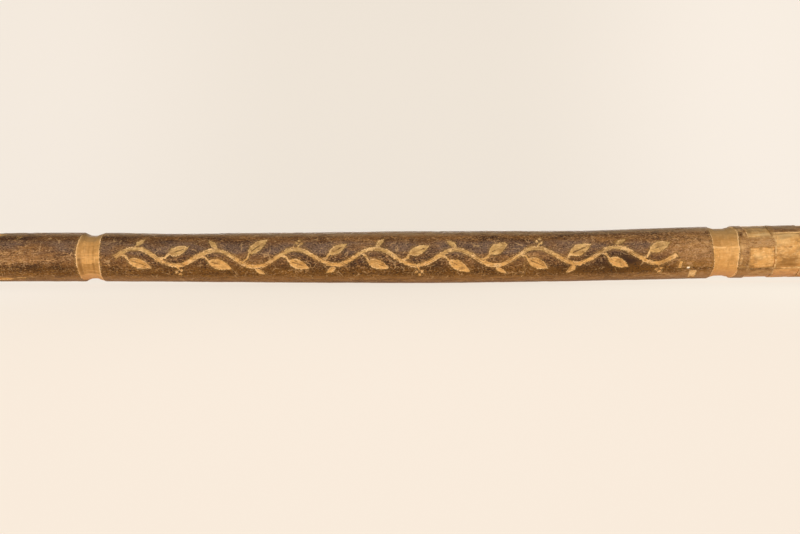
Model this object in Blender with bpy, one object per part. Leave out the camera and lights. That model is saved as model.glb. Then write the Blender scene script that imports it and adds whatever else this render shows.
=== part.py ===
"""A walking cane made from one bark-on stick, with a bent crook, carved rings and a shod tip.

Lengths are in metres. The cane lies on its side on the plane z = 0, along X, with its tip at -X
and its crook at +X, flat in the XY plane and turned towards -Y. A place along the stick is its
distance from the tip, measured on the centreline. An angle round the stick is 0 on the -Y side
and 90 degrees on top.
"""

import math

import bmesh
import bpy
from mathutils import Vector

# The stick as a whole
TOTAL_LENGTH = 0.900
TIP_DIAMETER = 0.0221
HANDLE_DIAMETER = 0.0258
BEND_RADIUS = 0.048
BEND_TURN = math.radians(176.0)
NOSE_LENGTH = 0.044

# The stick's natural wander: a shallow wave up and down, and one slow sway to the side
BOW_LIFT = 0.0018
BOW_LOW = 0.475
SWAY = 0.0030

# Swellings and waists: distance from the tip, change of diameter, reach along the stick
SWELLS = (
    (0.115, 0.0006, 0.034),
    (0.345, -0.0006, 0.024),
    (0.457, 0.0006, 0.036),
    (0.538, -0.0005, 0.020),
    (0.722, 0.0006, 0.036),
    (0.790, -0.0004, 0.022),
)

# Healed knots: distance from the tip, angle round the stick, height, reach
KNOTS = (
    (0.083, math.radians(150.0), 0.0014, 0.0052),
    (0.142, math.radians(35.0), 0.0011, 0.0048),
    (0.231, math.radians(118.0), 0.0010, 0.0044),
    (0.716, math.radians(62.0), 0.0013, 0.0055),
    (0.792, math.radians(-22.0), 0.0012, 0.0050),
)

# Bark, and the carved rings that part it, in order from the tip
BARK_THICKNESS = 0.0008
BARK_LIP = 0.00025
CLEARANCE = 0.0003
TIP_BARK_LENGTH = 0.1505
LEAF_BARK_LENGTH = 0.0995
PANEL_BARK_LENGTH = 0.2885
RING_WIDTHS = (0.0105, 0.0105, 0.0115, 0.0105)
RING_CHAMFER = 0.0022
RING_WAIST = 0.0002

# The chequer: columns of windows cut through the bark, with a thin ridge between columns
CHEQUER_MARGIN = 0.0055
CHEQUER_PITCH = 0.0126
CHEQUER_RIDGE = 0.0008
CHEQUER_COLUMNS = 4
CHEQUER_TURN = math.radians(36.0)
CHEQUER_WINDOWS = (
    ((-38.0, 9.0), (35.0, 97.0), (114.0, 160.0), (180.0, 228.0), (248.0, 293.0)),
    ((-38.0, 44.0), (83.0, 130.0), (150.0, 204.0), (222.0, 262.0), (273.0, 317.0)),
)

# Bare wooden nose of the crook
BARE_NOSE = 0.0080
NOSE_ROUND = 0.0055
NOSE_ROUND_STEPS = 4

# The steel cup, the stud through its floor and the pins in its wall
STUD_FLANGE = 0.0030
STUD_RIM = 0.0012
STUD_BEVEL = 0.0005
STUD_SHANK_RADIUS = 0.0024
STUD_SHANK_LENGTH = 0.0180
STUD_POINT = 0.0030
STUD_POINT_RADIUS = 0.0006
CUP_LENGTH = 0.0340
CUP_WALL = 0.0009
CUP_FLOOR = 0.0012
CUP_INSET = 0.0006
CUP_TAPER = 0.0015
CUP_CORNER = 0.0008
BEAD_HEIGHT = 0.0004
BEAD_WIDTH = 0.0020
BEAD_ROUND = 0.0005
PIN_DISTANCE = 0.0240
PIN_RADIUS = 0.0009
PIN_LENGTH = 0.0050
PIN_POINT = 0.0018
PIN_POINT_RADIUS = 0.0002
PIN_HEAD_RADIUS = 0.0019
PIN_HEAD_HEIGHT = 0.0007
PIN_ANGLES = (0.0, math.pi)

# Section of the pin's domed head: share of its height, share of its radius
PIN_DOME = ((0.0, 1.0), (0.6, 0.8), (1.0, 0.35))

# Finishes: colour, roughness, metallic
FINISHES = {
    "bare_wood": ((0.56, 0.33, 0.11), 0.55, 0.0),
    "bark": ((0.17, 0.08, 0.035), 0.5, 0.0),
    "ferrule_steel": ((0.33, 0.32, 0.30), 0.38, 1.0),
    "pin_brass": ((0.52, 0.36, 0.13), 0.4, 1.0),
}

# How finely the surfaces are faceted
STICK_SIDES = 24
METAL_SIDES = 32
PIN_SIDES = 16
SHAFT_STEP = 0.030
BEND_STEPS = 18
KNOT_STATIONS = (-2.2, -1.1, 0.0, 1.1, 2.2)
CLOSEST_STATIONS = 0.0012
CUTTER_REACH = 0.002
SHARP_EDGE = math.radians(35.0)

UP = Vector((0.0, 0.0, 1.0))

# Places that follow from the sizes above
BEND_START = TOTAL_LENGTH - BEND_RADIUS - HANDLE_DIAMETER / 2
NOSE_START = BEND_START + BEND_RADIUS * BEND_TURN
NOSE_END = NOSE_START + NOSE_LENGTH
CUP_START = STUD_FLANGE + CLEARANCE
CUP_END = CUP_START + CUP_LENGTH
CHEQUER_BARK_LENGTH = 2 * CHEQUER_MARGIN + CHEQUER_COLUMNS * CHEQUER_PITCH


def swell(distance):
    """Change of the stick's radius there by its natural swellings and waists."""
    total = 0.0
    for place, growth, reach in SWELLS:
        total += growth / 2 * math.exp(-0.5 * ((distance - place) / reach) ** 2)
    return total


def stick_radius(distance):
    """Radius over the bark, knots left out: it tapers to the bend and is even round the crook."""
    share = min(distance / BEND_START, 1.0)
    diameter = TIP_DIAMETER + (HANDLE_DIAMETER - TIP_DIAMETER) * share
    return diameter / 2 + swell(distance)


def skin_radius(distance, angle):
    """Radius over the bark at one angle, with the knots."""
    radius = stick_radius(distance)
    total = radius
    for place, side, height, reach in KNOTS:
        turn = math.remainder(angle - side, math.tau)
        away = math.hypot(distance - place, radius * turn)
        total += height * math.exp(-0.5 * (away / reach) ** 2)
    return total


def lift(distance):
    """Height of the stick's underside: nil at the cup, at the bow's low place and at the bend."""
    if distance <= CUP_END or distance >= BEND_START:
        return 0.0
    if distance < BOW_LOW:
        share = (BOW_LOW - distance) / (BOW_LOW - CUP_END)
    else:
        share = (distance - BOW_LOW) / (BEND_START - BOW_LOW)
    return BOW_LIFT * math.sin(math.pi * share) ** 2


def sway(distance):
    """Sideways place of the centreline along the shaft."""
    share = (distance - CUP_END) / (BEND_START - CUP_END)
    share = min(max(share, 0.0), 1.0)
    return -SWAY * math.sin(math.pi * share) ** 2


def axis_height(distance):
    """Height of the centreline, level inside the cup so that the turned parts share one axis."""
    return stick_radius(max(distance, CUP_END)) + lift(distance)


def axis_frame(distance):
    """Centreline point, and the level direction that an angle of 0 round the stick looks in."""
    turn = (distance - BEND_START) / BEND_RADIUS
    turn = min(max(turn, 0.0), BEND_TURN)
    forward = Vector((math.cos(turn), -math.sin(turn), 0.0))
    side = Vector((-math.sin(turn), -math.cos(turn), 0.0))
    straight = distance - BEND_START - BEND_RADIUS * turn
    corner = Vector((BEND_START, sway(distance), axis_height(distance)))
    arc = Vector((math.sin(turn), math.cos(turn) - 1.0, 0.0)) * BEND_RADIUS
    return corner + arc + forward * straight, side


def stick_ring(distance, radius_at):
    """One ring of points round the stick; radius_at gives the radius at an angle."""
    centre, side = axis_frame(distance)
    points = []
    for index in range(STICK_SIDES):
        angle = math.tau * index / STICK_SIDES
        outward = side * math.cos(angle) + UP * math.sin(angle)
        points.append(centre + outward * radius_at(angle))
    return points


def skin_ring(distance, inset):
    """A ring that lies a given depth under the bark's surface."""
    return stick_ring(distance, lambda angle: skin_radius(distance, angle) - inset)


def round_ring(distance, radius):
    """A plain round ring on the centreline."""
    return stick_ring(distance, lambda angle: radius)


def stations(start, end):
    """Places along the stick between two ends, closer on the bend and at the knots."""
    places = []
    count = math.ceil(BEND_START / SHAFT_STEP)
    for index in range(count):
        places.append(BEND_START * index / count)
    for index in range(BEND_STEPS + 1):
        places.append(BEND_START + (NOSE_START - BEND_START) * index / BEND_STEPS)
    for place, _, _, reach in KNOTS:
        for step in KNOT_STATIONS:
            places.append(place + step * reach)
    kept = [start]
    for place in sorted(places):
        if place > kept[-1] + CLOSEST_STATIONS and place < end - CLOSEST_STATIONS:
            kept.append(place)
    return kept + [end]


def material(name):
    """The Principled material of one of the finishes."""
    colour, roughness, metallic = FINISHES[name]
    made = bpy.data.materials.new(name)
    made.use_nodes = True
    shader = made.node_tree.nodes["Principled BSDF"]
    shader.inputs["Base Color"].default_value = (*colour, 1.0)
    shader.inputs["Roughness"].default_value = roughness
    shader.inputs["Metallic"].default_value = metallic
    made.diffuse_color = (*colour, 1.0)
    return made


def add_rings(mesh, rings, looped):
    """Skins rings of points: capped at both ends, or looped from the last ring to the first."""
    loops = []
    for ring in rings:
        loops.append([mesh.verts.new(point) for point in ring])
    pairs = list(zip(loops, loops[1:]))
    if looped:
        pairs.append((loops[-1], loops[0]))
    else:
        mesh.faces.new(loops[0])
        mesh.faces.new(loops[-1])
    for first, second in pairs:
        for index in range(len(first)):
            after = (index + 1) % len(first)
            mesh.faces.new((first[index], first[after], second[after], second[index]))


def finish_object(name, mesh, finish, frame):
    """Turns the mesh's faces outward and puts it in the scene under the cane's own frame."""
    bmesh.ops.recalc_face_normals(mesh, faces=mesh.faces)
    data = bpy.data.meshes.new(name)
    mesh.to_mesh(data)
    mesh.free()
    data.shade_smooth()
    data.set_sharp_from_angle(angle=SHARP_EDGE)
    if finish:
        data.materials.append(finish)
    made = bpy.data.objects.new(name, data)
    made.parent = frame
    bpy.context.scene.collection.objects.link(made)
    return made


def ring_body(name, rings, looped, finish, frame):
    """A solid skinned over rings of points."""
    mesh = bmesh.new()
    add_rings(mesh, rings, looped)
    return finish_object(name, mesh, finish, frame)


def turned_rings(profile, sides):
    """Rings of a profile of (place, radius) pairs turned round the local X axis."""
    rings = []
    for place, radius in profile:
        ring = []
        for index in range(sides):
            angle = math.tau * index / sides
            ring.append(Vector((place, radius * math.cos(angle), radius * math.sin(angle))))
        rings.append(ring)
    return rings


def cut_with(target, cutter, name):
    """Cuts one object out of another and keeps the cutter out of the model."""
    cutter.hide_render = True
    cutter.display_type = "WIRE"
    modifier = target.modifiers.new(name, "BOOLEAN")
    modifier.operation = "DIFFERENCE"
    modifier.solver = "EXACT"
    modifier.object = cutter


def cup_radius(distance):
    """Outer radius of the cup, which tapers towards the tip."""
    top = TIP_DIAMETER / 2 - CUP_INSET
    return top - CUP_TAPER * (CUP_END - distance) / CUP_LENGTH


def bark_sections():
    """Name, start and end of each length of bark, measured where its chamfers meet the surface."""
    names = ("bark_tip_sleeve", "bark_leaf_band", "bark_carved_panel", "bark_chequer_band")
    lengths = (TIP_BARK_LENGTH, LEAF_BARK_LENGTH, PANEL_BARK_LENGTH, CHEQUER_BARK_LENGTH)
    sections = []
    place = CUP_END + CLEARANCE
    for name, length, ring in zip(names, lengths, RING_WIDTHS):
        sections.append((name, place, place + length))
        place += length + ring
    sections.append(("bark_crook_sleeve", place, NOSE_END - BARE_NOSE))
    return sections


def ring_spans():
    """Start and end of each carved ring, from surface to surface."""
    sections = bark_sections()
    spans = []
    for before, after in zip(sections, sections[1:]):
        spans.append((before[2], after[1]))
    return spans


def build_core(finish, frame):
    """The wood: a tenon for the cup, the shaft waisted in each ring, the crook and its nose."""
    tenon_start = CUP_START + CUP_FLOOR + CLEARANCE
    shoulder = CUP_END + CLEARANCE
    inset = BARK_THICKNESS + CLEARANCE
    rings = []
    for place in (tenon_start, shoulder):
        rings.append(round_ring(place, cup_radius(place) - CUP_WALL - CLEARANCE))
    waists = {}
    for start, end in ring_spans():
        waists[start + RING_CHAMFER] = 0.0
        waists[(start + end) / 2] = RING_WAIST
        waists[end - RING_CHAMFER] = 0.0
    plain = stations(shoulder, NOSE_END - NOSE_ROUND)
    for start, end in ring_spans():
        plain = [place for place in plain if not start < place < end]
    for place in sorted(plain + list(waists)):
        rings.append(skin_ring(place, inset + waists.get(place, 0.0)))
    for step in range(1, NOSE_ROUND_STEPS + 1):
        angle = math.pi / 2 * step / (NOSE_ROUND_STEPS + 1)
        place = NOSE_END - NOSE_ROUND * (1.0 - math.sin(angle))
        rings.append(skin_ring(place, inset + NOSE_ROUND * (1.0 - math.cos(angle))))
    rings.append(skin_ring(NOSE_END, inset + NOSE_ROUND))
    core = ring_body("wood_core", rings, False, finish, frame)
    cut_with(core, stud_bore(frame), "stud_bore")
    cut_with(core, pin_bores(frame, "core_pin_bore"), "pin_bores")
    return core


def sleeve_rings(start, end, start_chamfer, end_chamfer):
    """Rings of a bark sleeve: its outer surface, a chamfer down to a thin lip, its inner face."""
    lip = BARK_THICKNESS - BARK_LIP
    rings = []
    if start_chamfer:
        rings.append(skin_ring(start - start_chamfer, lip))
    for place in stations(start, end):
        rings.append(skin_ring(place, 0.0))
    if end_chamfer:
        rings.append(skin_ring(end + end_chamfer, lip))
    for place in reversed(stations(start - start_chamfer, end + end_chamfer)):
        rings.append(skin_ring(place, BARK_THICKNESS))
    return rings


def build_bark(finish, frame):
    """Five lengths of bark, each a sleeve on the wood, parted by the carved rings."""
    sleeves = []
    for name, start, end in bark_sections():
        start_chamfer = 0.0 if name == "bark_tip_sleeve" else RING_CHAMFER
        rings = sleeve_rings(start, end, start_chamfer, RING_CHAMFER)
        sleeve = ring_body(name, rings, True, finish, frame)
        if name == "bark_chequer_band":
            cut_with(sleeve, chequer_cutter(start, frame), "windows")
        sleeves.append(sleeve)
    return sleeves


def add_wedge(mesh, start, end, first, last):
    """A block between two places and two angles, from under the bark to well over it."""
    inner = stick_radius(start) - BARK_THICKNESS - CUTTER_REACH
    outer = (stick_radius(start) + CUTTER_REACH) / math.cos((last - first) / 2)
    corners = []
    for place in (start, end):
        centre, side = axis_frame(place)
        for radius, angle in ((inner, first), (outer, first), (outer, last), (inner, last)):
            outward = side * math.cos(angle) + UP * math.sin(angle)
            corners.append(mesh.verts.new(centre + outward * radius))
    mesh.faces.new(corners[:4])
    mesh.faces.new(corners[4:])
    for index in range(4):
        after = (index + 1) % 4
        mesh.faces.new((corners[index], corners[after], corners[after + 4], corners[index + 4]))


def chequer_cutter(bark_start, frame):
    """All the windows of the chequer: the two hand-set columns, repeated with a turn."""
    mesh = bmesh.new()
    for column in range(CHEQUER_COLUMNS):
        start = bark_start + CHEQUER_MARGIN + column * CHEQUER_PITCH + CHEQUER_RIDGE / 2
        end = start + CHEQUER_PITCH - CHEQUER_RIDGE
        turn = CHEQUER_TURN * (column // len(CHEQUER_WINDOWS))
        for first, last in CHEQUER_WINDOWS[column % len(CHEQUER_WINDOWS)]:
            add_wedge(mesh, start, end, math.radians(first) + turn, math.radians(last) + turn)
    return finish_object("chequer_cutter", mesh, None, frame)


def stud_bore(frame):
    """Cutter for the hole that the stud's shank goes up in the end of the wood."""
    radius = STUD_SHANK_RADIUS + CLEARANCE
    end = STUD_FLANGE + STUD_SHANK_LENGTH + CLEARANCE
    profile = ((CUP_START, radius), (end, radius))
    bore = ring_body("stud_bore", turned_rings(profile, PIN_SIDES), False, None, frame)
    bore.location = (0.0, 0.0, axis_height(0.0))
    return bore


def pin_bores(frame, name):
    """Cutter for the holes that the pins go through, blind in the wood."""
    mesh = bmesh.new()
    surface = cup_radius(PIN_DISTANCE)
    radius = PIN_RADIUS + CLEARANCE
    for angle in PIN_ANGLES:
        outward = Vector((0.0, -math.cos(angle), math.sin(angle)))
        across = outward.cross(Vector((1.0, 0.0, 0.0)))
        rings = []
        for depth in (surface - PIN_LENGTH - CLEARANCE, surface + CUTTER_REACH):
            ring = []
            for index in range(PIN_SIDES):
                turn = math.tau * index / PIN_SIDES
                offset = Vector((math.cos(turn), 0.0, 0.0)) + across * math.sin(turn)
                ring.append(outward * depth + offset * radius)
            rings.append(ring)
        add_rings(mesh, rings, False)
    bores = finish_object(name, mesh, None, frame)
    bores.location = (PIN_DISTANCE, 0.0, axis_height(0.0))
    return bores


def build_cup(finish, frame):
    """The steel cup: tapered wall, rolled bead at its mouth, floor with the stud's hole."""
    mouth = cup_radius(CUP_END)
    bead = CUP_END - BEAD_WIDTH
    hole = STUD_SHANK_RADIUS + CLEARANCE
    floor_top = CUP_START + CUP_FLOOR
    shoulder = mouth + BEAD_HEIGHT / 2
    profile = (
        (CUP_START, hole),
        (CUP_START, cup_radius(CUP_START) - CUP_CORNER),
        (CUP_START + CUP_CORNER, cup_radius(CUP_START + CUP_CORNER)),
        (bead - BEAD_HEIGHT, cup_radius(bead - BEAD_HEIGHT)),
        (bead, shoulder),
        (bead + BEAD_ROUND, mouth + BEAD_HEIGHT),
        (CUP_END - BEAD_ROUND, mouth + BEAD_HEIGHT),
        (CUP_END, shoulder),
        (CUP_END, mouth - CUP_WALL),
        (floor_top, cup_radius(floor_top) - CUP_WALL),
        (floor_top, hole),
    )
    cup = ring_body("ferrule_cup", turned_rings(profile, METAL_SIDES), True, finish, frame)
    cup.location = (0.0, 0.0, axis_height(0.0))
    cut_with(cup, pin_bores(frame, "cup_pin_bore"), "pin_bores")
    return cup


def build_stud(finish, frame):
    """The wear stud: a flat flange that meets the ground and a pointed shank up into the wood."""
    rim = cup_radius(CUP_START) - STUD_RIM
    shank_end = STUD_FLANGE + STUD_SHANK_LENGTH
    profile = (
        (0.0, rim - STUD_BEVEL),
        (STUD_BEVEL, rim),
        (STUD_FLANGE, rim),
        (STUD_FLANGE, STUD_SHANK_RADIUS),
        (shank_end - STUD_POINT, STUD_SHANK_RADIUS),
        (shank_end, STUD_POINT_RADIUS),
    )
    stud = ring_body("wear_stud", turned_rings(profile, METAL_SIDES), False, finish, frame)
    stud.location = (0.0, 0.0, axis_height(0.0))
    return stud


def build_pins(finish, frame):
    """Round-headed pins that hold the cup, each on its own side of the tip."""
    surface = cup_radius(PIN_DISTANCE) + CLEARANCE
    profile = [
        (-PIN_LENGTH, PIN_POINT_RADIUS),
        (-PIN_LENGTH + PIN_POINT, PIN_RADIUS),
        (0.0, PIN_RADIUS),
    ]
    for height, width in PIN_DOME:
        profile.append((PIN_HEAD_HEIGHT * height, PIN_HEAD_RADIUS * width))
    pins = []
    for angle, place in zip(PIN_ANGLES, ("front", "back")):
        name = "ferrule_pin_" + place
        pin = ring_body(name, turned_rings(profile, PIN_SIDES), False, finish, frame)
        outward = Vector((0.0, -math.cos(angle), math.sin(angle)))
        pin.rotation_euler = (0.0, 0.0, math.atan2(outward.y, outward.x))
        pin.location = outward * surface + Vector((PIN_DISTANCE, 0.0, axis_height(0.0)))
        pins.append(pin)
    return pins


def stand_on_origin(frame, solids):
    """Moves the whole cane so that the middle of its underside's box is the origin."""
    lowest = Vector((math.inf, math.inf, math.inf))
    highest = -lowest
    for solid in solids:
        place = solid.matrix_basis
        for vertex in solid.data.vertices:
            point = place @ vertex.co
            for axis in range(3):
                lowest[axis] = min(lowest[axis], point[axis])
                highest[axis] = max(highest[axis], point[axis])
    middle = (lowest + highest) / 2
    frame.location = (-middle.x, -middle.y, -lowest.z)


def main():
    """Builds the cane from the wood outwards."""
    for old in list(bpy.data.objects):
        bpy.data.objects.remove(old, do_unlink=True)
    frame = bpy.data.objects.new("cane_frame", None)
    bpy.context.scene.collection.objects.link(frame)
    finishes = {name: material(name) for name in FINISHES}
    solids = [build_core(finishes["bare_wood"], frame)]
    solids += build_bark(finishes["bark"], frame)
    solids.append(build_cup(finishes["ferrule_steel"], frame))
    solids.append(build_stud(finishes["ferrule_steel"], frame))
    solids += build_pins(finishes["pin_brass"], frame)
    bpy.context.view_layer.update()
    stand_on_origin(frame, solids)


main()
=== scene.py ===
"""A walking cane made from one bark-on stick: its looks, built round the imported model.

Lengths are in metres, apart from names that end in _mm. A place along the stick is its distance
from the tip, measured on the centreline. An angle round the stick is 0 on the -Y side, which the
camera sees, and a quarter turn on top. Carvings are drawn on the unrolled bark, in millimetres:
along is X from the middle of the cane, and around is the arc from the -Y side, upwards.
"""

import logging
import math
from collections.abc import Iterable, Sequence
from dataclasses import dataclass, field
from enum import Enum

import bpy
import numpy as np
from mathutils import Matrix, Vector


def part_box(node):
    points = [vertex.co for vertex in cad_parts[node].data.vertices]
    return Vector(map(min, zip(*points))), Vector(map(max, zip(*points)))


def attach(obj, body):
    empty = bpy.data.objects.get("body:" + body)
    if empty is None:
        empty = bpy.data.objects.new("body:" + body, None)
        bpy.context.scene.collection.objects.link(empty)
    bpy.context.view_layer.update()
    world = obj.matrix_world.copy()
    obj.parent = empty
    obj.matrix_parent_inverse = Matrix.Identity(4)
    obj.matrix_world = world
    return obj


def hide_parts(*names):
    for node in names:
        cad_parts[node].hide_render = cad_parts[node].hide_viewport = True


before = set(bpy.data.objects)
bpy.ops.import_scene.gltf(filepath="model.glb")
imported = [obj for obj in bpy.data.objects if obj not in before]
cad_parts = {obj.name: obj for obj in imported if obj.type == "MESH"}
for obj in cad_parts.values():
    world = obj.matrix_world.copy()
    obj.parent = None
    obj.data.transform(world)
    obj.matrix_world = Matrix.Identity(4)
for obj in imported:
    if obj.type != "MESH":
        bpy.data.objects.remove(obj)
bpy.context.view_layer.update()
LOG = logging.getLogger("cane")

Array = np.ndarray
Colour = tuple[float, ...]

MM = 0.001
BODY = "root"
MAP_NAME = "OFBake"
SHARP_EDGE = math.radians(50.0)
FAR_MM = 9.0
HASH_AXES = np.array((73856093, 19349663, 83492791), np.uint64)
HASH_STEPS = ((np.uint64(13), np.uint64(1274126177)), (np.uint64(16), np.uint64(668265263)))


class Slot(Enum):
    """The record's material slots."""

    WOOD = "bare_wood"
    BARK = "bark"
    STEEL = "ferrule_steel"
    BRASS = "pin_brass"


def linear(*parts: float) -> Colour:
    """Turns an sRGB colour into the linear one that a shader takes.

    Args:
        parts: Its red, green and blue, each 0 to 255.

    Returns:
        The linear colour with an alpha of 1.
    """
    shares = (part / 255 for part in parts)
    made = (one / 12.92 if one < 0.04 else ((one + 0.055) / 1.055) ** 2.4 for one in shares)
    return (*made, 1.0)


def smooth(values: Array, low: float, high: float) -> Array:
    """Rises smoothly from 0 at low to 1 at high."""
    share = np.clip((values - low) / (high - low), 0.0, 1.0)
    return share * share * (3.0 - 2.0 * share)


def bell(values: Array) -> Array:
    """1 at 0, falling to nothing on both sides."""
    return np.exp(-(values**2))


def spread(start: float, end: float, step: float) -> list[float]:
    """Evenly spaced places from start up to, but without, end."""
    count = max(1, math.ceil((end - start) / step))
    return [start + (end - start) * index / count for index in range(count)]


class Grain:
    """Smooth noise that is the same in every run."""

    def __init__(self, seed: int) -> None:
        """Keeps the seed that sets one grain apart from another."""
        self.seed = np.uint64(seed * 2654435761 + 97)

    def at(self, points: Array) -> Array:
        """One layer of noise with cells of size 1.

        Args:
            points: Places, shaped (..., 3).

        Returns:
            One value from -1 to 1 for each.
        """
        cell = np.floor(points)
        part = points - cell
        ease = part * part * (3.0 - 2.0 * part)
        made = np.zeros(points.shape[:-1])
        for step in np.ndindex(2, 2, 2):
            corner = (cell + step).astype(np.int64).astype(np.uint64)
            mixed = np.bitwise_xor.reduce(corner * HASH_AXES, axis=-1) ^ self.seed
            for shift, factor in HASH_STEPS:
                mixed = (mixed ^ (mixed >> shift)) * factor
            chance = ((mixed >> np.uint64(11)) & np.uint64(0xFFFFF)).astype(float) / 0x80000 - 1.0
            made += np.prod(np.where(step, ease, 1.0 - ease), axis=-1) * chance
        return made

    def layers(self, points: Array, count: int) -> Array:
        """Several layers of noise, each half the size and strength of the last.

        Args:
            points: Places, shaped (..., 3).
            count: How many layers.

        Returns:
            One value, about -1 to 1, for each.
        """
        strengths = [0.5**index for index in range(count)]
        made = np.zeros(points.shape[:-1])
        for strength in strengths:
            made += strength * self.at(points)
            points = points * 2.03 + 7.31
        return made / sum(strengths)


@dataclass(frozen=True)
class Grid:
    """Points on the stick, each a distance from the tip and an angle round it."""

    places: Array
    angles: Array

    @classmethod
    def of(cls, places: Array | Sequence[float], angles: Array) -> "Grid":
        """Every angle at every place."""
        return cls(*np.meshgrid(places, angles, indexing="ij"))

    @property
    def radius(self) -> Array:
        """Radius over the bark, knots left out."""
        return STICK.radius(self.places)

    @property
    def skin(self) -> Array:
        """Radius over the bark with the knots."""
        return sum((knot.bump(self) for knot in STICK.knots), self.radius)

    @property
    def spots(self) -> Array:
        """Where the bark's plain surface would be on a straight stick, in millimetres."""
        return self.straight(self.radius)

    def straight(self, radii: Array) -> Array:
        """Where points at some radii would be on a straight stick, in millimetres."""
        across, upward = radii * np.cos(self.angles), radii * np.sin(self.angles)
        return np.stack((self.places, across, upward), axis=-1) / MM

    def filled(self, value: float) -> Array:
        """The same value at every point."""
        return np.full(self.places.shape, value)

    def turn(self, angle: float) -> Array:
        """How far round from an angle each point is, at most half a turn either way."""
        return np.mod(self.angles - angle + math.pi, math.tau) - math.pi

    def points(self, radii: Array) -> Array:
        """The points in the row frame.

        Args:
            radii: Their distances from the centreline.

        Returns:
            The points, with a last axis of 3.
        """
        centre, side = STICK.axis(self.places)
        up = np.array((0.0, 0.0, 1.0))
        outward = side * np.cos(self.angles)[..., None] + up * np.sin(self.angles)[..., None]
        return STICK.origin() + centre + outward * radii[..., None]


@dataclass(frozen=True)
class Swell:
    """A natural swelling or waist of the stick."""

    place: float
    growth: float
    reach: float


@dataclass(frozen=True)
class Knot:
    """A healed knot."""

    place: float
    angle: float
    height: float
    reach: float

    def away(self, grid: Grid) -> Array:
        """How far points are from the knot's middle, on the surface."""
        return np.hypot(grid.places - self.place, grid.radius * grid.turn(self.angle))

    def bump(self, grid: Grid) -> Array:
        """How far the knot lifts the bark at each point."""
        return self.height * np.exp(-0.5 * (self.away(grid) / self.reach) ** 2)


@dataclass(frozen=True)
class Stick:
    """The line and the girth of the stick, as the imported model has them."""

    length: float = 0.900
    tip_diameter: float = 0.0221
    handle_diameter: float = 0.0258
    bend_radius: float = 0.048
    bend_turn: float = math.radians(176.0)
    nose_length: float = 0.044
    bow_lift: float = 0.0018
    bow_low: float = 0.475
    sway: float = 0.0030
    cup_end: float = 0.0373
    swells: tuple[Swell, ...] = (
        Swell(0.115, 0.0006, 0.034),
        Swell(0.345, -0.0006, 0.024),
        Swell(0.457, 0.0006, 0.036),
        Swell(0.538, -0.0005, 0.020),
        Swell(0.722, 0.0006, 0.036),
        Swell(0.790, -0.0004, 0.022),
    )
    knots: tuple[Knot, ...] = (
        Knot(0.083, math.radians(150.0), 0.0014, 0.0052),
        Knot(0.142, math.radians(35.0), 0.0011, 0.0048),
        Knot(0.231, math.radians(118.0), 0.0010, 0.0044),
        Knot(0.716, math.radians(62.0), 0.0013, 0.0055),
        Knot(0.792, math.radians(-22.0), 0.0012, 0.0050),
    )

    @property
    def handle_radius(self) -> float:
        """Radius of the crook."""
        return self.handle_diameter / 2

    @property
    def bend_start(self) -> float:
        """Where the shaft ends and the bend begins."""
        return self.length - self.bend_radius - self.handle_radius

    @property
    def nose_end(self) -> float:
        """The far end of the crook's nose."""
        return self.bend_start + self.bend_radius * self.bend_turn + self.nose_length

    @property
    def tip_height(self) -> float:
        """Height of the centreline in the ferrule."""
        return float(self.axis_height(np.array(0.0)))

    def origin(self) -> Array:
        """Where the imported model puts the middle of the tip's face, less its height there."""
        low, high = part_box("wear_stud")
        return np.array((low.x, (low.y + high.y) / 2, (low.z + high.z) / 2 - self.tip_height))

    def radius(self, places: Array) -> Array:
        """Radius over the bark, knots left out.

        Args:
            places: Distances from the tip.

        Returns:
            A radius for each.
        """
        share = np.minimum(places / self.bend_start, 1.0)
        total = (self.tip_diameter + (self.handle_diameter - self.tip_diameter) * share) / 2
        for swell in self.swells:
            away = (places - swell.place) / swell.reach
            total = total + swell.growth / 2 * np.exp(-0.5 * away**2)
        return total

    def axis_height(self, places: Array) -> Array:
        """Height of the centreline.

        Args:
            places: Distances from the tip.

        Returns:
            A height for each.
        """
        low = np.clip((self.bow_low - places) / (self.bow_low - self.cup_end), 0.0, 1.0)
        high = (places - self.bow_low) / (self.bend_start - self.bow_low)
        share = np.where(places < self.bow_low, low, np.clip(high, 0.0, 1.0))
        lift = self.bow_lift * np.sin(math.pi * share) ** 2
        return self.radius(np.maximum(places, self.cup_end)) + lift

    def axis(self, places: Array) -> tuple[Array, Array]:
        """The centreline.

        Args:
            places: Distances from the tip.

        Returns:
            Its points, and the level direction of an angle of 0 at each.
        """
        turn = np.clip((places - self.bend_start) / self.bend_radius, 0.0, self.bend_turn)
        straight = places - self.bend_start - self.bend_radius * turn
        share = np.clip((places - self.cup_end) / (self.bend_start - self.cup_end), 0.0, 1.0)
        sway = -self.sway * np.sin(math.pi * share) ** 2
        zero = np.zeros_like(places)
        forward = np.stack((np.cos(turn), -np.sin(turn), zero), axis=-1)
        side = np.stack((-np.sin(turn), -np.cos(turn), zero), axis=-1)
        arc = np.stack((np.sin(turn), np.cos(turn) - 1.0, zero), axis=-1)
        start = np.stack((zero + self.bend_start, sway, self.axis_height(places)), axis=-1)
        return start + arc * self.bend_radius + forward * straight[..., None], side


STICK = Stick()


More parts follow.
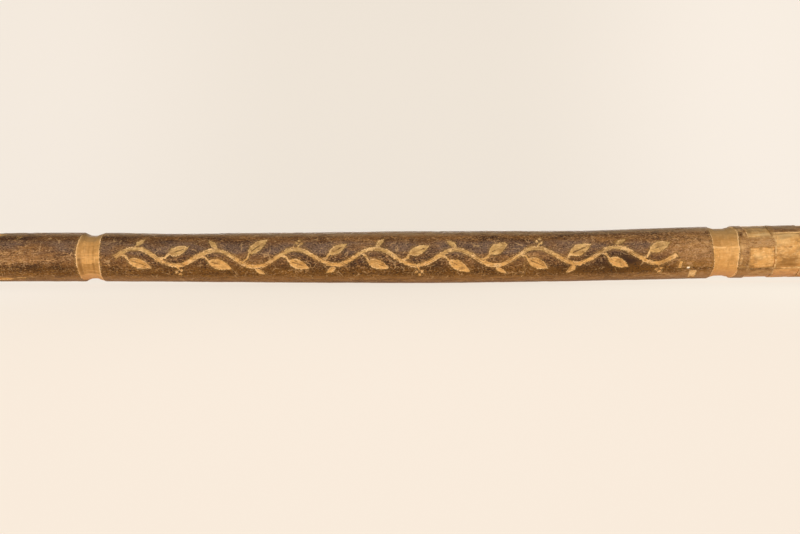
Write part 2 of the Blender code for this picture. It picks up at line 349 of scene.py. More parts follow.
@dataclass(frozen=True)
class Bands:
    """Where the bark is, ring by ring, from the tip to the nose."""

    first: float = 0.0376
    lengths: tuple[float, ...] = (0.1505, 0.0995, 0.2885, 0.0614)
    rings: tuple[float, ...] = (0.0105, 0.0105, 0.0115, 0.0105)
    bare_nose: float = 0.0080
    chamfer: float = 0.0022
    thickness: float = 0.0008

    @property
    def sections(self) -> list[tuple[float, float]]:
        """The lengths of bark, each up to where its chamfers meet the surface.

        Returns:
            Start and end of each.
        """
        made = []
        place = self.first
        for length, ring in zip(self.lengths, self.rings):
            made.append((place, place + length))
            place += length + ring
        return [*made, (place, STICK.nose_end - self.bare_nose)]

    @property
    def gaps(self) -> list[tuple[float, float]]:
        """Start and end of each carved ring, from surface to surface."""
        return [(one[1], two[0]) for one, two in zip(self.sections, self.sections[1:])]


BANDS = Bands()


def round_angles(fine_mm: float, coarse_mm: float) -> Array:
    """Angles round the stick, closer on the side that the camera sees.

    Args:
        fine_mm: Spacing there.
        coarse_mm: Spacing behind.

    Returns:
        Rising angles, less than a full turn apart.
    """
    half = math.radians(105.0)
    front = spread(-half, half, fine_mm * MM / STICK.handle_radius)
    return np.array(front + spread(half, math.tau - half, coarse_mm * MM / STICK.handle_radius))


def unrolled(bands: Array, columns: Array, band_count: int, column_count: int) -> Array:
    """Corners of an unrolled map that lays a long tube in rows.

    Args:
        bands: Band number of each corner, which may be a fraction.
        columns: Column number of each corner.
        band_count: How many bands there are.
        column_count: How many columns there are.

    Returns:
        Map places, shaped (corners, 2), with every corner of a face in its first corner's row.
    """
    rows = max(1, round(math.sqrt(band_count / column_count)))
    per_row = math.ceil(band_count / rows)
    row = np.minimum(np.floor(bands[:, :1] / per_row), rows - 1)
    across = (bands - row * per_row + 0.5) / (per_row + 1.0)
    upward = (row + (columns + 0.5) / (column_count + 1.0)) / rows
    return np.stack((across, upward), axis=-1).reshape(-1, 2)


def mesh_object(
    name: str, points: Array, faces: list[list[int]], corners: Array, values: dict[str, Array]
) -> bpy.types.Object:
    """Puts a mesh with its map and its values in the scene.

    Args:
        name: The piece's name.
        points: Vertices in the row frame, shaped (count, 3).
        faces: Vertex numbers of each face.
        corners: Map places in face order, shaped (corners, 2).
        values: Values at the vertices, shaped (count,) or (count, 3).

    Returns:
        The new object.
    """
    data = bpy.data.meshes.new(name)
    data.from_pydata(points.tolist(), [], faces)
    layer = data.uv_layers.new(name=MAP_NAME)
    layer.data.foreach_set("uv", corners.astype(np.float32).ravel())
    for key, value in values.items():
        kind, member = ("FLOAT", "value") if value.ndim == 1 else ("FLOAT_VECTOR", "vector")
        stored = data.attributes.new(key, kind, "POINT")
        stored.data.foreach_set(member, value.astype(np.float32).ravel())
    data.shade_smooth()
    data.set_sharp_from_angle(angle=SHARP_EDGE)
    made = bpy.data.objects.new(name, data)
    bpy.context.scene.collection.objects.link(made)
    return made


def joined(*parts: dict[str, Array]) -> dict[str, Array]:
    """Puts the values of several stretches of rings end to end."""
    return {key: np.concatenate([part[key] for part in parts]) for key in parts[0]}


@dataclass(frozen=True)
class Skin:
    """Rings of points joined into a closed skin, with values at each point."""

    name: str
    rings: Array
    values: dict[str, Array]
    capped: bool = False

    def build(self) -> bpy.types.Object:
        """Makes the mesh: looped from the last ring to the first, or capped at both ends.

        Returns:
            The object.
        """
        count, columns = self.rings.shape[:2]
        points, size = self.rings.reshape(-1, 3), count * columns
        values = {key: one.reshape((size, *one.shape[2:])) for key, one in self.values.items()}
        lead = 1 if self.capped else 0
        bands, total = count - lead, count + lead
        band, column = (part.ravel() for part in np.indices((bands, columns)))
        start, after, beside = band * columns, (band + 1) % count * columns, (column + 1) % columns
        quads = (start + column, after + column, after + beside, start + beside)
        faces = np.stack(quads, axis=-1).tolist()
        across = np.stack((band, band + 1, band + 1, band), axis=-1) + float(lead)
        upward = np.stack((column, column, column + 1, column + 1), axis=-1)
        corners = [unrolled(across, upward, total, columns)]
        if self.capped:
            ends = [slice(None, columns), slice(-columns, None)]
            points = np.stack((*points, *(points[end].mean(axis=0) for end in ends)))
            for key, value in values.items():
                values[key] = np.stack((*value, *(value[end].mean(axis=0) for end in ends)))
            around = np.arange(columns)
            beside, base, one = (around + 1) % columns, size - columns, np.ones(columns)
            faces += np.stack((size * one, around, beside), axis=-1).astype(int).tolist()
            last = (base + around, (size + 1) * one, base + beside)
            faces += np.stack(last, axis=-1).astype(int).tolist()
            fans = (
                ((0 * one, one, one), (around + 0.5, around, around + 1.0)),
                ((total - one, total * one, total - one), (around, around + 0.5, around + 1.0)),
            )
            for fan in fans:
                places = (np.stack(part, axis=-1) for part in fan)
                corners.append(unrolled(*places, total, columns))
        return mesh_object(self.name, points, faces, np.concatenate(corners), values)


@dataclass(frozen=True)
class PiercedSkin:
    """An outer and an inner skin with windows through both, and walls round each window."""

    name: str
    outer: Array
    inner: Array
    solid: Array
    values: dict[str, Array]
    inner_values: dict[str, Array]
    map_split: float = 0.80
    walls: tuple[tuple[int, ...], ...] = ((-1, 0, 3, 0), (0, -1, 0, 1), (1, 0, 1, 2), (0, 1, 2, 3))
    wall_map: float = 0.45

    def build(self) -> bpy.types.Object:
        """Makes the mesh.

        Returns:
            The object.
        """
        count, columns = self.outer.shape[:2]
        size = count * columns
        faces: list[list[int]] = []
        corners: list[tuple[float, float]] = []

        def outside(band: float, column: float) -> None:
            """Adds the map place of a corner of the outer skin."""
            upward = self.map_split * (column + 0.5) / (columns + 1.0)
            corners.append(((band + 1.0) / (count + 1.0), upward))

        opened = ~np.pad(self.solid, ((1, 1), (0, 0)))
        for band, column in np.argwhere(self.solid).tolist():
            quad = [(band, column), (band + 1, column), (band + 1, column + 1), (band, column + 1)]
            numbers = [one * columns + two % columns for one, two in quad]
            faces += [numbers, [size + number for number in reversed(numbers)]]
            for place in quad:
                outside(*place)
            for one, two in reversed(quad):
                upward = self.map_split + 0.01 + (0.98 - self.map_split) * two / columns
                corners.append(((one + 1.0) / (count + 1.0), upward))
            for along, around, start, end in self.walls:
                if not opened[band + 1 + along, (column + around) % columns]:
                    continue
                one, two = numbers[start], numbers[end]
                faces.append([two, one, size + one, size + two])
                for corner, shift in zip((end, start, start, end), (0.0, 0.0, 1.0, 1.0)):
                    far = shift * self.wall_map
                    outside(quad[corner][0] + far * along, quad[corner][1] + far * around)
        used = np.zeros(2 * size, bool)
        used[[number for face in faces for number in face]] = True
        number = (np.cumsum(used) - 1).tolist()
        faces = [[number[corner] for corner in face] for face in faces]
        both = joined(self.values, self.inner_values)
        values = {key: one.reshape((2 * size, *one.shape[2:]))[used] for key, one in both.items()}
        points = np.concatenate((self.outer, self.inner)).reshape(-1, 3)[used]
        return mesh_object(self.name, points, faces, np.array(corners), values)


@dataclass(frozen=True)
class Stroke:
    """A knife stroke along a line: flat floor, steep walls and square-cut ends."""

    line: tuple[tuple[float, float], ...]
    width: float
    end_width: float
    floor: float = 0.52

    def reach(self) -> tuple[float, ...]:
        """The stroke's box: lowest and highest place along, then around."""
        line, room = np.array(self.line), max(self.width, self.end_width) + 1.0
        return tuple(np.stack((line.min(axis=0) - room, line.max(axis=0) + room), axis=1).ravel())

    def cut(self, along: Array, around: Array) -> tuple[Array, Array, Array]:
        """What the stroke leaves at points of the unrolled bark.

        Args:
            along: Places along the stick.
            around: Places round it.

        Returns:
            How far inside the edge each point is, the depth there, and its distance from the
            stroke's middle line.
        """
        line = np.array(self.line)
        steps = np.hypot(*np.diff(line, axis=0).T)
        passed = np.concatenate(([0.0], np.cumsum(steps))) / steps.sum()
        inside, middle = np.full(along.shape, -FAR_MM), np.full(along.shape, FAR_MM)
        for index, step in enumerate(steps):
            start = line[index]
            run = (line[index + 1] - start) / step
            gone = (along - start[0]) * run[0] + (around - start[1]) * run[1]
            off = np.abs((around - start[1]) * run[0] - (along - start[0]) * run[1])
            kept = np.clip(gone, 0.0, step)
            beyond = np.abs(gone - kept)
            share = passed[index] + (passed[index + 1] - passed[index]) * kept / step
            half = (self.width + (self.end_width - self.width) * share) / 2
            away = np.hypot(off, beyond)
            if index in (0, len(steps) - 1):
                square = np.maximum(off, beyond + half - 0.35)
                inner = gone > step if index == 0 else gone < 0.0
                away = np.where(inner & (len(steps) > 1), away, square)
            better = half - away > inside
            inside = np.where(better, half - away, inside)
            middle = np.where(better, off, middle)
        return inside, np.clip(inside * 1.5 + 0.06, 0.0, self.floor), middle


@dataclass(frozen=True)
class Notch:
    """A cut that lies round a middle: its place, its slant and its half sizes."""

    along: float
    around: float
    angle: float
    half_length: float
    half_width: float

    def room(self) -> float:
        """How far from its middle the cut still tells."""
        return self.half_length + 1.0

    def reach(self) -> tuple[float, ...]:
        """The cut's box, as Stroke.reach says."""
        room, middle = self.room(), (self.along, self.around)
        return tuple(one + off for one in middle for off in (-room, room))

    def cut(self, along: Array, around: Array) -> tuple[Array, Array, Array]:
        """What the cut leaves, as Stroke.cut says.

        Args:
            along: Places along the stick.
            around: Places round it.

        Returns:
            As Stroke.cut says.
        """
        along, around = along - self.along, around - self.around
        run, rise = math.cos(self.angle), math.sin(self.angle)
        return self.shape(along * run + around * rise, around * run - along * rise)

    def shape(self, length: Array, width: Array) -> tuple[Array, Array, Array]:
        """What the cut leaves at lengths and widths from its middle."""
        raise NotImplementedError


@dataclass(frozen=True)
class LeafCut(Notch):
    """A leaf cut with two sloping passes of the knife, deepest along its midrib."""

    ribbed: bool = True
    rib_mark: float = 20.0

    def shape(self, length: Array, width: Array) -> tuple[Array, Array, Array]:
        """What the leaf leaves.

        Args:
            length: Lengths from its middle.
            width: Widths from its middle.

        Returns:
            As Stroke.cut says, with rib_mark added to the distance from the midrib.
        """
        width = np.abs(width / np.maximum(1.0 - 0.22 * length / self.half_length, 0.5))
        bulge = (self.half_length**2 + self.half_width**2) / (2 * self.half_width)
        inside = bulge - np.hypot(length, width + (bulge - self.half_width))
        depth = np.clip(0.10 + inside * 0.30, 0.0, 0.66) * (inside > -0.25)
        depth = np.where(inside < 0, np.clip(inside * 1.5 + 0.06, 0.0, 1.0), depth)
        veined = (length >= -0.7 * self.half_length) & (length <= 0.55 * self.half_length)
        return inside, depth, np.where(veined & self.ribbed, width, FAR_MM) + self.rib_mark


@dataclass(frozen=True)
class BerryCut(Notch):
    """A round berry, turned out with the knife's point. Its half length is its radius."""

    def shape(self, length: Array, width: Array) -> tuple[Array, Array, Array]:
        """What the berry leaves at lengths and widths from its middle."""
        inside = self.half_length - np.hypot(length, width)
        return inside, np.clip(inside * 0.9 + 0.10, 0.0, 0.6), np.full(length.shape, FAR_MM)


@dataclass(frozen=True)
class ChipCut(Notch):
    """A square chip knocked out of the bark."""

    floor: float = 0.5

    def room(self) -> float:
        """How far from its middle the chip still tells."""
        return self.half_length + self.half_width + 1.0

    def shape(self, length: Array, width: Array) -> tuple[Array, Array, Array]:
        """What the chip leaves at lengths and widths from its middle."""
        inside = np.minimum(self.half_length - np.abs(length), self.half_width - np.abs(width))
        return inside, np.clip(inside * 1.4 + 0.05, 0.0, self.floor), np.full(length.shape, FAR_MM)


Cut = Stroke | LeafCut | BerryCut | ChipCut


@dataclass
class Carving:
    """The cuts in one length of bark, worked out at each point of its surface."""

    along: Array
    around: Array
    inside: Array = field(init=False)
    depth: Array = field(init=False)
    middle: Array = field(init=False)

    def __post_init__(self) -> None:
        """Starts with whole bark."""
        shape = self.along.shape
        self.inside, self.middle = np.full(shape, -FAR_MM), np.full(shape, FAR_MM)
        self.depth = np.zeros(shape)

    def take(self, cuts: Iterable[Cut]) -> None:
        """Makes cuts in the bark, a deeper one over a shallower one.

        Args:
            cuts: The cuts.
        """
        for cut in cuts:
            low, high, under, over = cut.reach()
            near = (self.along > low) & (self.along < high)
            near &= (self.around > under) & (self.around < over)
            if not near.any():
                continue
            inside, depth, middle = cut.cut(self.along[near], self.around[near])
            better = inside > self.inside[near]
            self.middle[near] = np.where(better, middle, self.middle[near])
            self.inside[near] = np.maximum(self.inside[near], inside)
            self.depth[near] = np.maximum(self.depth[near], depth)


@dataclass(frozen=True)
class Vine:
    """The panel's ornament: a winding stem with leaves in its hollows and berries outside."""

    start: float = -134.0
    end: float = 130.0
    half_wave: float = 18.857
    swing: float = 4.0
    stem_width: float = 2.1
    stem_step: float = 2.4
    berry: float = 0.85
    seed: int = 41

    def stem(self, along: Array | float) -> Array:
        """Height of the stem's middle line."""
        phase = math.pi * (along - self.start) / self.half_wave
        return self.swing * np.sin(phase) + 0.5 * np.sin(phase * 0.37 + 1.0)

    def cuts(self) -> list[Cut]:
        """Every cut of the ornament, each a little off as a hand makes it.

        Returns:
            The cuts.
        """
        rng = np.random.default_rng(self.seed)
        made: list[Cut] = []
        places = np.arange(self.start, self.end + 0.1, self.stem_step)
        heights = self.stem(places) + rng.normal(0.0, 0.12, len(places))
        line = list(zip(places.tolist(), heights.tolist()))
        for first in range(0, len(line) - 1, 5):
            widths = rng.normal(self.stem_width, 0.16, 2).tolist()
            made.append(Stroke(tuple(line[first : first + 6]), *widths))
        for index in range(round((self.end - self.start) / self.half_wave)):
            made += self.growth(*rng.normal(0.0, 1.0, (2, 6)), index)
        return made

    def growth(self, off: Array, outer: Array, index: int) -> list[Cut]:
        """What grows at one half wave: a big leaf in its hollow, berries or a leaf outside it.

        Args:
            off: Six small irregularities of the big leaf.
            outer: Six of what grows outside.
            index: Number of the half wave.

        Returns:
            The cuts.
        """
        crest = self.start + self.half_wave * (index + 0.5)
        side = 1.0 if index % 2 == 0 else -1.0
        base = float(self.stem(crest))
        foot = crest - 6.6 + 0.4 * off[0]
        heel = (crest - 3.2 + 0.3 * off[1], side * (-1.6 + 0.3 * off[2]))
        size = 5.7 + 0.35 * off[3]
        angle = -side * math.radians(24.0 + 5.0 * off[4])
        along = heel[0] + (size - 0.6) * math.cos(angle)
        around = heel[1] + (size - 0.6) * math.sin(angle)
        start = (foot, float(self.stem(foot)) - side * 0.4)
        bend = ((start[0] + heel[0]) / 2 + 0.6, (start[1] + heel[1]) / 2 + side * 0.5)
        made: list[Cut] = [Stroke((start, bend, heel), 1.5, 1.2, 0.45)]
        made.append(LeafCut(along, around, angle, size, 2.55 + 0.15 * off[5]))
        if index % 3 == 1:
            line = ((crest + 0.5, base), (crest + 1.6, base + side * 2.2))
            made.append(Stroke(line, 1.2, 1.0, 0.42))
            for step, (aside, up) in enumerate(((0.4, 3.3), (2.6, 2.7), (1.9, 4.7))):
                along = crest + aside + 0.15 * outer[step]
                around = base + side * (up + 0.15 * outer[step + 3])
                made.append(BerryCut(along, around, 0.0, self.berry, self.berry))
            return made
        tilt = math.radians(38.0 + 6.0 * outer[0])
        tilt = math.pi - tilt if index % 3 == 2 else tilt
        along = crest + 2.6 * math.cos(tilt) + 0.3 * outer[1]
        around = base + side * (1.1 + 2.9 * math.sin(tilt) + 0.2 * outer[2])
        sizes = (3.1 + 0.2 * outer[3], 1.25 + 0.08 * outer[4])
        return [*made, LeafCut(along, around, side * tilt, *sizes, False)]


@dataclass(frozen=True)
class Patch:
    """A soft-edged patch on the stick where something is more, or less, than elsewhere."""

    place: float
    angle: float
    reach: float
    spread: float
    strength: float

    def at(self, grid: Grid) -> Array:
        """What the patch adds at each point."""
        away = ((grid.places - self.place) / self.reach) ** 2
        return self.strength * np.exp(-(away + (grid.turn(self.angle) / self.spread) ** 2))


Patches = tuple[Patch, ...]


def patches(*rows: tuple[float, ...]) -> Patches:
    """Makes patches from rows of a place, an angle, a reach, a spread and a strength."""
    return tuple(Patch(*row) for row in rows)


def total(parts: Patches, grid: Grid) -> Array:
    """What patches add together at each point."""
    return sum((patch.at(grid) for patch in parts), grid.filled(0.0))


@dataclass(frozen=True)
class Tone:
    """How pale the bark is: 0 is dark and rough, 1 a smooth tan, and below 0 smooth and black."""

    plain: float = 0.37
    zone: float = 0.26
    mottle: float = 0.08
    lowest: float = -0.6
    seed: int = 9
    patches: Patches = patches(
        (0.268, -0.06, 0.050, 0.26, 0.34), (0.270, -0.45, 0.050, 0.13, -0.42),
        (0.275, 0.80, 0.050, 0.22, -0.22), (0.318, 0.60, 0.045, 0.40, -0.25),
        (0.330, 0.80, 0.040, 0.26, -0.22), (0.333, 0.24, 0.030, 0.20, -0.20),
        (0.490, 0.60, 0.065, 0.25, -0.12), (0.425, -0.34, 0.075, 0.14, -0.16),
        (0.557, 0.62, 0.022, 0.35, 0.22), (0.400, -0.56, 0.110, 0.22, -0.20),
        (0.440, 0.00, 0.125, 0.50, -0.13), (0.380, -0.25, 0.030, 0.35, -0.20),
        (0.477, -0.45, 0.018, 0.30, -0.26), (0.556, -0.52, 0.022, 0.34, -0.32),
        (0.580, -0.66, 0.020, 0.10, -0.55), (0.5555, -0.48, 0.016, 0.28, -0.28),
        (0.520, -0.58, 0.050, 0.20, -0.26), (0.558, -0.34, 0.0085, 0.34, -0.75),
        (0.5545, -0.16, 0.0075, 0.24, -0.30), (0.5290, -0.56, 0.0100, 0.24, -0.30),
        (0.5925, 1.10, 0.0060, 0.30, 0.14), (0.590, 0.10, 0.014, 1.60, 0.28),
        (0.592, -1.05, 0.018, 0.26, 0.22), (0.912, math.pi, 0.040, 1.00, 0.30),
        (0.990, math.pi, 0.024, 1.20, 0.20), (0.850, 0.90, 0.050, 0.70, 0.14),
        (0.120, 0.10, 0.050, 0.30, 0.16),
    )  # fmt: skip

    def at(self, grid: Grid) -> Array:
        """The tone of the bark.

        Args:
            grid: The points.

        Returns:
            Tones up to 1.
        """
        spots, noise = grid.spots, Grain(self.seed)
        made = self.plain + self.zone * noise.layers(spots / (34.0, 5.0, 5.0), 2)
        made += self.mottle * noise.layers(spots / (8.0, 1.8, 1.8) + 13.0, 2)
        return np.clip(made + total(self.patches, grid), self.lowest, 1.0)


@dataclass(frozen=True)
class Relief:
    """How rough the bark is."""

    wander: float = 0.00016
    wrinkle: float = 0.00009
    grain: float = 0.00005
    pit: float = 0.00012
    fold: float = 0.00016
    fold_mm: float = 2.6
    eye_rim: float = 0.00022
    eye_pit: float = 0.00060
    eye_rings: float = 0.00010
    seed: int = 5
    tone: Tone = Tone()

    def height(self, grid: Grid) -> Array:
        """Height of the bark's surface over the plain shape.

        Args:
            grid: The points.

        Returns:
            A height for each, in metres.
        """
        spots, noise = grid.spots, Grain(self.seed)
        made = self.wander * noise.layers(spots / (17.0, 7.0, 7.0), 2)
        ridged = 1.0 - 2.0 * np.abs(noise.layers(spots / (8.0, 1.5, 1.5) + 31.0, 2))
        rough = 1.1 - 0.8 * smooth(self.tone.at(grid), 0.25, 0.70)
        made += self.wrinkle * ridged * rough
        made += self.grain * noise.layers(spots / (1.7, 0.9, 0.9) + 71.0, 2) * rough
        made -= self.pit * smooth(noise.at(spots / (3.4, 2.0, 2.0) + 17.0), 0.45, 0.8) * rough
        bend = smooth(grid.places, STICK.bend_start - 0.004, STICK.bend_start + 0.012)
        bend *= 1.0 - smooth(grid.places, STICK.nose_end - 0.060, STICK.nose_end - 0.044)
        inner = smooth(np.cos(grid.angles), 0.35, 0.9)
        phase = spots[..., 0] * math.tau / self.fold_mm + 3.0 * noise.at(spots / 5.0)
        made += self.fold * bend * inner * (0.5 + 0.5 * np.sin(phase)) * (0.5 + 0.5 * rough)
        for knot in STICK.knots:
            away = knot.away(grid) / MM
            made += self.eye_rim * bell((away - 2.3) / 0.7) - self.eye_pit * bell(away / 1.3)
            made += self.eye_rings * np.cos(away * 2.4) * bell(away / 5.0)
        return made


def turned_edges(first: float, count: int) -> tuple[float, ...]:
    """Angles, in degrees, that divide a turn a little unevenly."""
    step = 360.0 / count
    return tuple(first + step * (index + 0.28 * math.sin(index * 2.4)) for index in range(count))


@dataclass(frozen=True)
class Line:
    """A painted highlight or painted shade line along the stick in a ring's floor."""

    angle: float
    reach: float
    strength: float


@dataclass(frozen=True)
class Flats:
    """The flats that the knife left round a ring's floor, whose tones and lines are painted light
    and shade. Angles are in degrees.
    """

    edges: tuple[float, ...]
    tones: tuple[float, ...] = ()
    lines: tuple[Line, ...] = ()
    depth_share: float = 0.9
    deepest: float = 0.00024
    lean: float = 0.02
    floor: float = 0.00112
    waist: float = 0.00020

    def found(self, grid: Grid) -> tuple[Array, Array, Array]:
        """Finds the flat that holds each point.

        Args:
            grid: The points.

        Returns:
            The number of the flat, how far across it each point is, and its width.
        """
        edges = np.radians(np.array((*self.edges, self.edges[0] + 360.0)))
        lean = np.sin(grid.places / MM * 0.5 + self.edges[0]) * self.lean
        turn = np.mod(grid.angles + lean - edges[0], math.tau) + edges[0]
        index = np.clip(np.searchsorted(edges, turn, side="right") - 1, 0, len(edges) - 2)
        width = edges[index + 1] - edges[index]
        return index, (turn - edges[index]) / width, width

    def depth(self, grid: Grid) -> Array:
        """How much the floor falls below round.

        Args:
            grid: The points.

        Returns:
            The fall at each, in metres.
        """
        _, share, width = self.found(grid)
        fall = 4.0 * share * (1.0 - share) * width**2 / 8 * grid.radius
        return np.clip(fall * self.depth_share, 0.0, self.deepest)

    def tone(self, grid: Grid) -> Array:
        """How much painted light, or painted shade below 0, each flat and line gives.

        Args:
            grid: The points.

        Returns:
            Tones from -1 to 1.
        """
        known = np.zeros(len(self.edges))
        known[: len(self.tones)] = self.tones
        made = known[self.found(grid)[0]]
        for line in self.lines:
            turn = np.degrees(grid.turn(math.radians(line.angle)))
            made = made + line.strength * bell(turn / line.reach)
        return np.clip(made, -1.0, 1.0)


FLATS = (
    Flats(turned_edges(11.0, 17)),
    Flats(
        (-112.0, -94.0, -75.0, -48.0, -37.0, -16.0, -1.0, 9.0, 31.0, 44.0, 67.0, 92.0, 120.0,
         147.0, 170.0, 196.0, 222.0),
        (-0.2, 0.1, 0.25, -0.42, -0.46, -0.02, -0.04, -0.32, -0.20, -0.38, -0.40),
        (Line(-1.5, 1.3, 0.4), Line(4.5, 1.3, -0.5), Line(-38.0, 1.5, 0.3)),
    ),
    Flats(
        (-100.0, -76.0, -57.0, -36.0, -14.0, 13.0, 31.0, 42.0, 63.0, 90.0, 115.0, 141.0,
         166.0, 190.0, 213.0, 236.0),
        (0.0, 0.15, -0.02, 0.05, 0.04, -0.42, -0.42, -0.30, -0.25),
        (Line(12.5, 2.0, 0.6), Line(-37.0, 1.8, -0.25)),
        deepest=0.00012,
        floor=0.00096,
        waist=0.00008,
    ),
    Flats(turned_edges(29.0, 16)),
)  # fmt: skip


@dataclass(frozen=True)
class Piece:
    """A piece of the cane: its name, the node that it stands for and its finish's slot."""

    name: str
    node: str
    slot: Slot

    def mesh(self) -> bpy.types.Object:
        """Builds the piece, in a way of each kind's own."""
        raise NotImplementedError

    def dress(self, piece: bpy.types.Object, finish: bpy.types.Material) -> None:
        """Gives the piece its finish and its place in the model.

        Args:
            piece: The piece's object.
            finish: Its material.
        """
        piece.data.materials.append(finish)
        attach(piece, BODY)
        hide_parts(self.node)


HIDDEN_VALUES = {"inside": 3.0, "depth": 0.8, "middle": FAR_MM, "rim": 3.0}


@dataclass(frozen=True)
class BarkBand(Piece):
    """One length of bark between two carved rings, with the cuts in it."""

    slot: Slot = Slot.BARK
    section: int = 0
    marks: tuple[Cut, ...] = ()
    step: float = 0.00080
    close: float = 0.00028
    near: float = 0.0028
    hidden_step: float = 0.008
    fine_mm: float = 0.68
    coarse_mm: float = 0.68
    start_chamfer: bool = True
    start_edge: float = 0.0004
    start_drop: float = 0.00035
    feather: float = 0.00004
    wobble: float = 0.00030
    wobble_reach: float = 0.0030
    start_shape: float = 0.8
    end_shape: float = 0.8
    line_mm: float = 0.5
    end_line_mm: float = 0.5
    relief: Relief = Relief()
    plain_wear: float = 0.20
    rubs: Patches = patches(
        (0.052, 0.0, 0.014, 9.0, 0.35), (0.270, -0.1, 0.045, 0.9, 0.22),
        (0.335, 0.65, 0.030, 0.3, 0.20), (0.470, 0.3, 0.060, 1.3, -0.12),
        (0.590, 0.1, 0.020, 2.0, 0.28), (0.560, -1.0, 0.050, 0.35, 0.25),
        (0.636, 0.0, 0.026, 9.0, 0.30), (0.912, math.pi, 0.040, 1.0, 0.42),
        (0.990, math.pi, 0.024, 1.2, 0.22), (0.800, math.pi / 2, 0.040, 0.8, 0.18),
    )  # fmt: skip
    stains: Patches = ()
    overlaps: Patches = ()
    pushes: Patches = ()
    gleams: Patches = ()

    @property
    def span(self) -> tuple[float, float]:
        """Where the bark's surface starts and ends."""
        return BANDS.sections[self.section]

    def stations(self) -> Array:
        """Places of the rings of the outer surface, closer at the rims.

        Returns:
            Rising places.
        """
        start, end = self.span
        if self.start_chamfer:
            made = spread(start - BANDS.chamfer, start, self.close)
            made += spread(start, start + self.near, self.close)
        else:
            made = [start + step for step in (0.0, 0.00008, 0.00022, self.start_edge)]
            made += spread(start + 0.0007, start + self.near, 2 * self.close)
        made += spread(start + self.near, end - self.near, self.step)
        made += spread(end - self.near, end, self.close)
        made += spread(end, end + BANDS.chamfer, self.close)
        return np.array([*made, end + BANDS.chamfer])

    def chamfer_depth(self, places: Array) -> Array:
        """How deep the chamfers cut.

        Args:
            places: Distances from the tip.

        Returns:
            A depth at each, in metres.
        """
        start, end = self.span
        deep = BANDS.thickness - self.feather
        depth = deep * np.clip((places - end) / BANDS.chamfer, 0.0, 1.0) ** self.end_shape
        if self.start_chamfer:
            share = np.clip((start - places) / BANDS.chamfer, 0.0, 1.0)
            return depth + deep * share**self.start_shape
        edge = np.clip((start + self.start_edge - places) / self.start_edge, 0.0, 1.0)
        return depth + self.start_drop * (1.0 - np.sqrt(1.0 - edge**2))

    def cut_tone(self, grid: Grid) -> Array:
        """How much lighter, or darker below 0, the wood is on the chamfers, which carry on the
        flats' painted light and shade.

        Args:
            grid: The points.

        Returns:
            Tones, which are above 1 where the wood gleams white.
        """
        start, end = self.span
        made = grid.filled(0.0)
        if self.start_chamfer:
            made = np.where(grid.places < start, FLATS[self.section - 1].tone(grid), made)
        if self.section < len(FLATS):
            made = np.where(grid.places > end, FLATS[self.section].tone(grid), made)
        return made + total(self.gleams, grid)

    def wander(self, grid: Grid, end: float, seed: int) -> Array:
        """How far a rim's points move along the stick, as the knife wandered.

        Args:
            grid: The points.
            end: Place of the rim.
            seed: Sets one rim apart from another.

        Returns:
            A shift for each point, in metres.
        """
        round_it = (4.0 * np.cos(grid.angles), 4.0 * np.sin(grid.angles), 0 * grid.angles)
        drift = Grain(seed + self.section).layers(np.stack(round_it, axis=-1) * 0.6, 3)
        return self.wobble * drift * bell((grid.places - end) / self.wobble_reach)

    def surface(self, grid: Grid) -> tuple[Array, dict[str, Array]]:
        """The outer surface.

        Args:
            grid: Its points, before the rims wander.

        Returns:
            The points and the values that the finish reads at them.
        """
        start, end = self.span
        places, radii = grid.places, grid.skin
        carving = Carving((places - STICK.length / 2) / MM, grid.turn(0.0) * grid.radius / MM)
        carving.take(self.marks)
        beyond = np.maximum(places - end, start - places if self.start_chamfer else -FAR_MM) / MM
        rim_inside = np.maximum(beyond, -FAR_MM)
        inside = np.maximum(carving.inside, rim_inside - total(self.overlaps, grid))
        tool = Grain(77).layers(grid.straight(radii) / (2.2, 0.8, 0.8), 2) * 0.05
        depth = (carving.depth + tool * (carving.inside > 0.2)) * MM
        depth = np.clip(depth, 0.0, BANDS.thickness - 0.00010)
        depth = np.maximum(depth, self.chamfer_depth(places))
        outward = self.relief.height(grid) * (1.0 - smooth(inside, -0.25, 0.2))
        moved = places + self.wander(grid, start, 11) + self.wander(grid, end, 31)
        moved = moved + total(self.pushes, grid)
        eyes = [bell(knot.away(grid) / MM / 2.4) for knot in STICK.knots]
        values = {
            "spot": grid.straight(radii - depth),
            "inside": inside,
            "depth": depth / MM,
            "middle": carving.middle,
            "wear": np.clip(self.plain_wear + total(self.rubs, grid), 0.0, 1.0),
            "knot": np.maximum.reduce(eyes),
            "tone": self.relief.tone.at(grid),
            "rim": rim_inside / np.where(places > end, self.end_line_mm, self.line_mm),
            "cut_tone": self.cut_tone(grid),
            "lip": grid.filled(0.0),
            "stain": np.clip(total(self.stains, grid), 0.0, 0.9),
        }
        return Grid(moved, grid.angles).points(radii - depth + outward), values

    def mesh(self) -> bpy.types.Object:
        """Builds the closed sleeve: the worked surface outside and a plain one inside.

        Returns:
            The sleeve.
        """
        angles, places = round_angles(self.fine_mm, self.coarse_mm), self.stations()
        outer, values = self.surface(Grid.of(places, angles))
        hidden = [*spread(places[0], places[-1], self.hidden_step), places[-1]]
        grid = Grid.of(hidden[::-1], angles)
        radii = grid.skin - BANDS.thickness
        plain = {key: grid.filled(HIDDEN_VALUES.get(key, 0.0)) for key in values}
        both = joined(values, {**plain, "spot": grid.straight(radii)})
        return Skin(self.name, np.concatenate((outer, grid.points(radii))), both).build()

TIP_BARK = BarkBand(
    "tip_bark",
    "bark_tip_sleeve",
    start_chamfer=False,
    marks=(
        ChipCut(-404.0, 4.0, 0.5, 1.4, 0.8, 0.35),
        ChipCut(-391.0, -11.0, -0.3, 1.0, 1.6, 0.30),
        ChipCut(-398.0, 22.0, 0.2, 1.6, 1.0, 0.40),
        LeafCut(-340.0, -6.0, 0.15, 4.0, 0.55, False),
        LeafCut(-318.0, 14.0, -0.25, 3.2, 0.45, False),
    ),
)

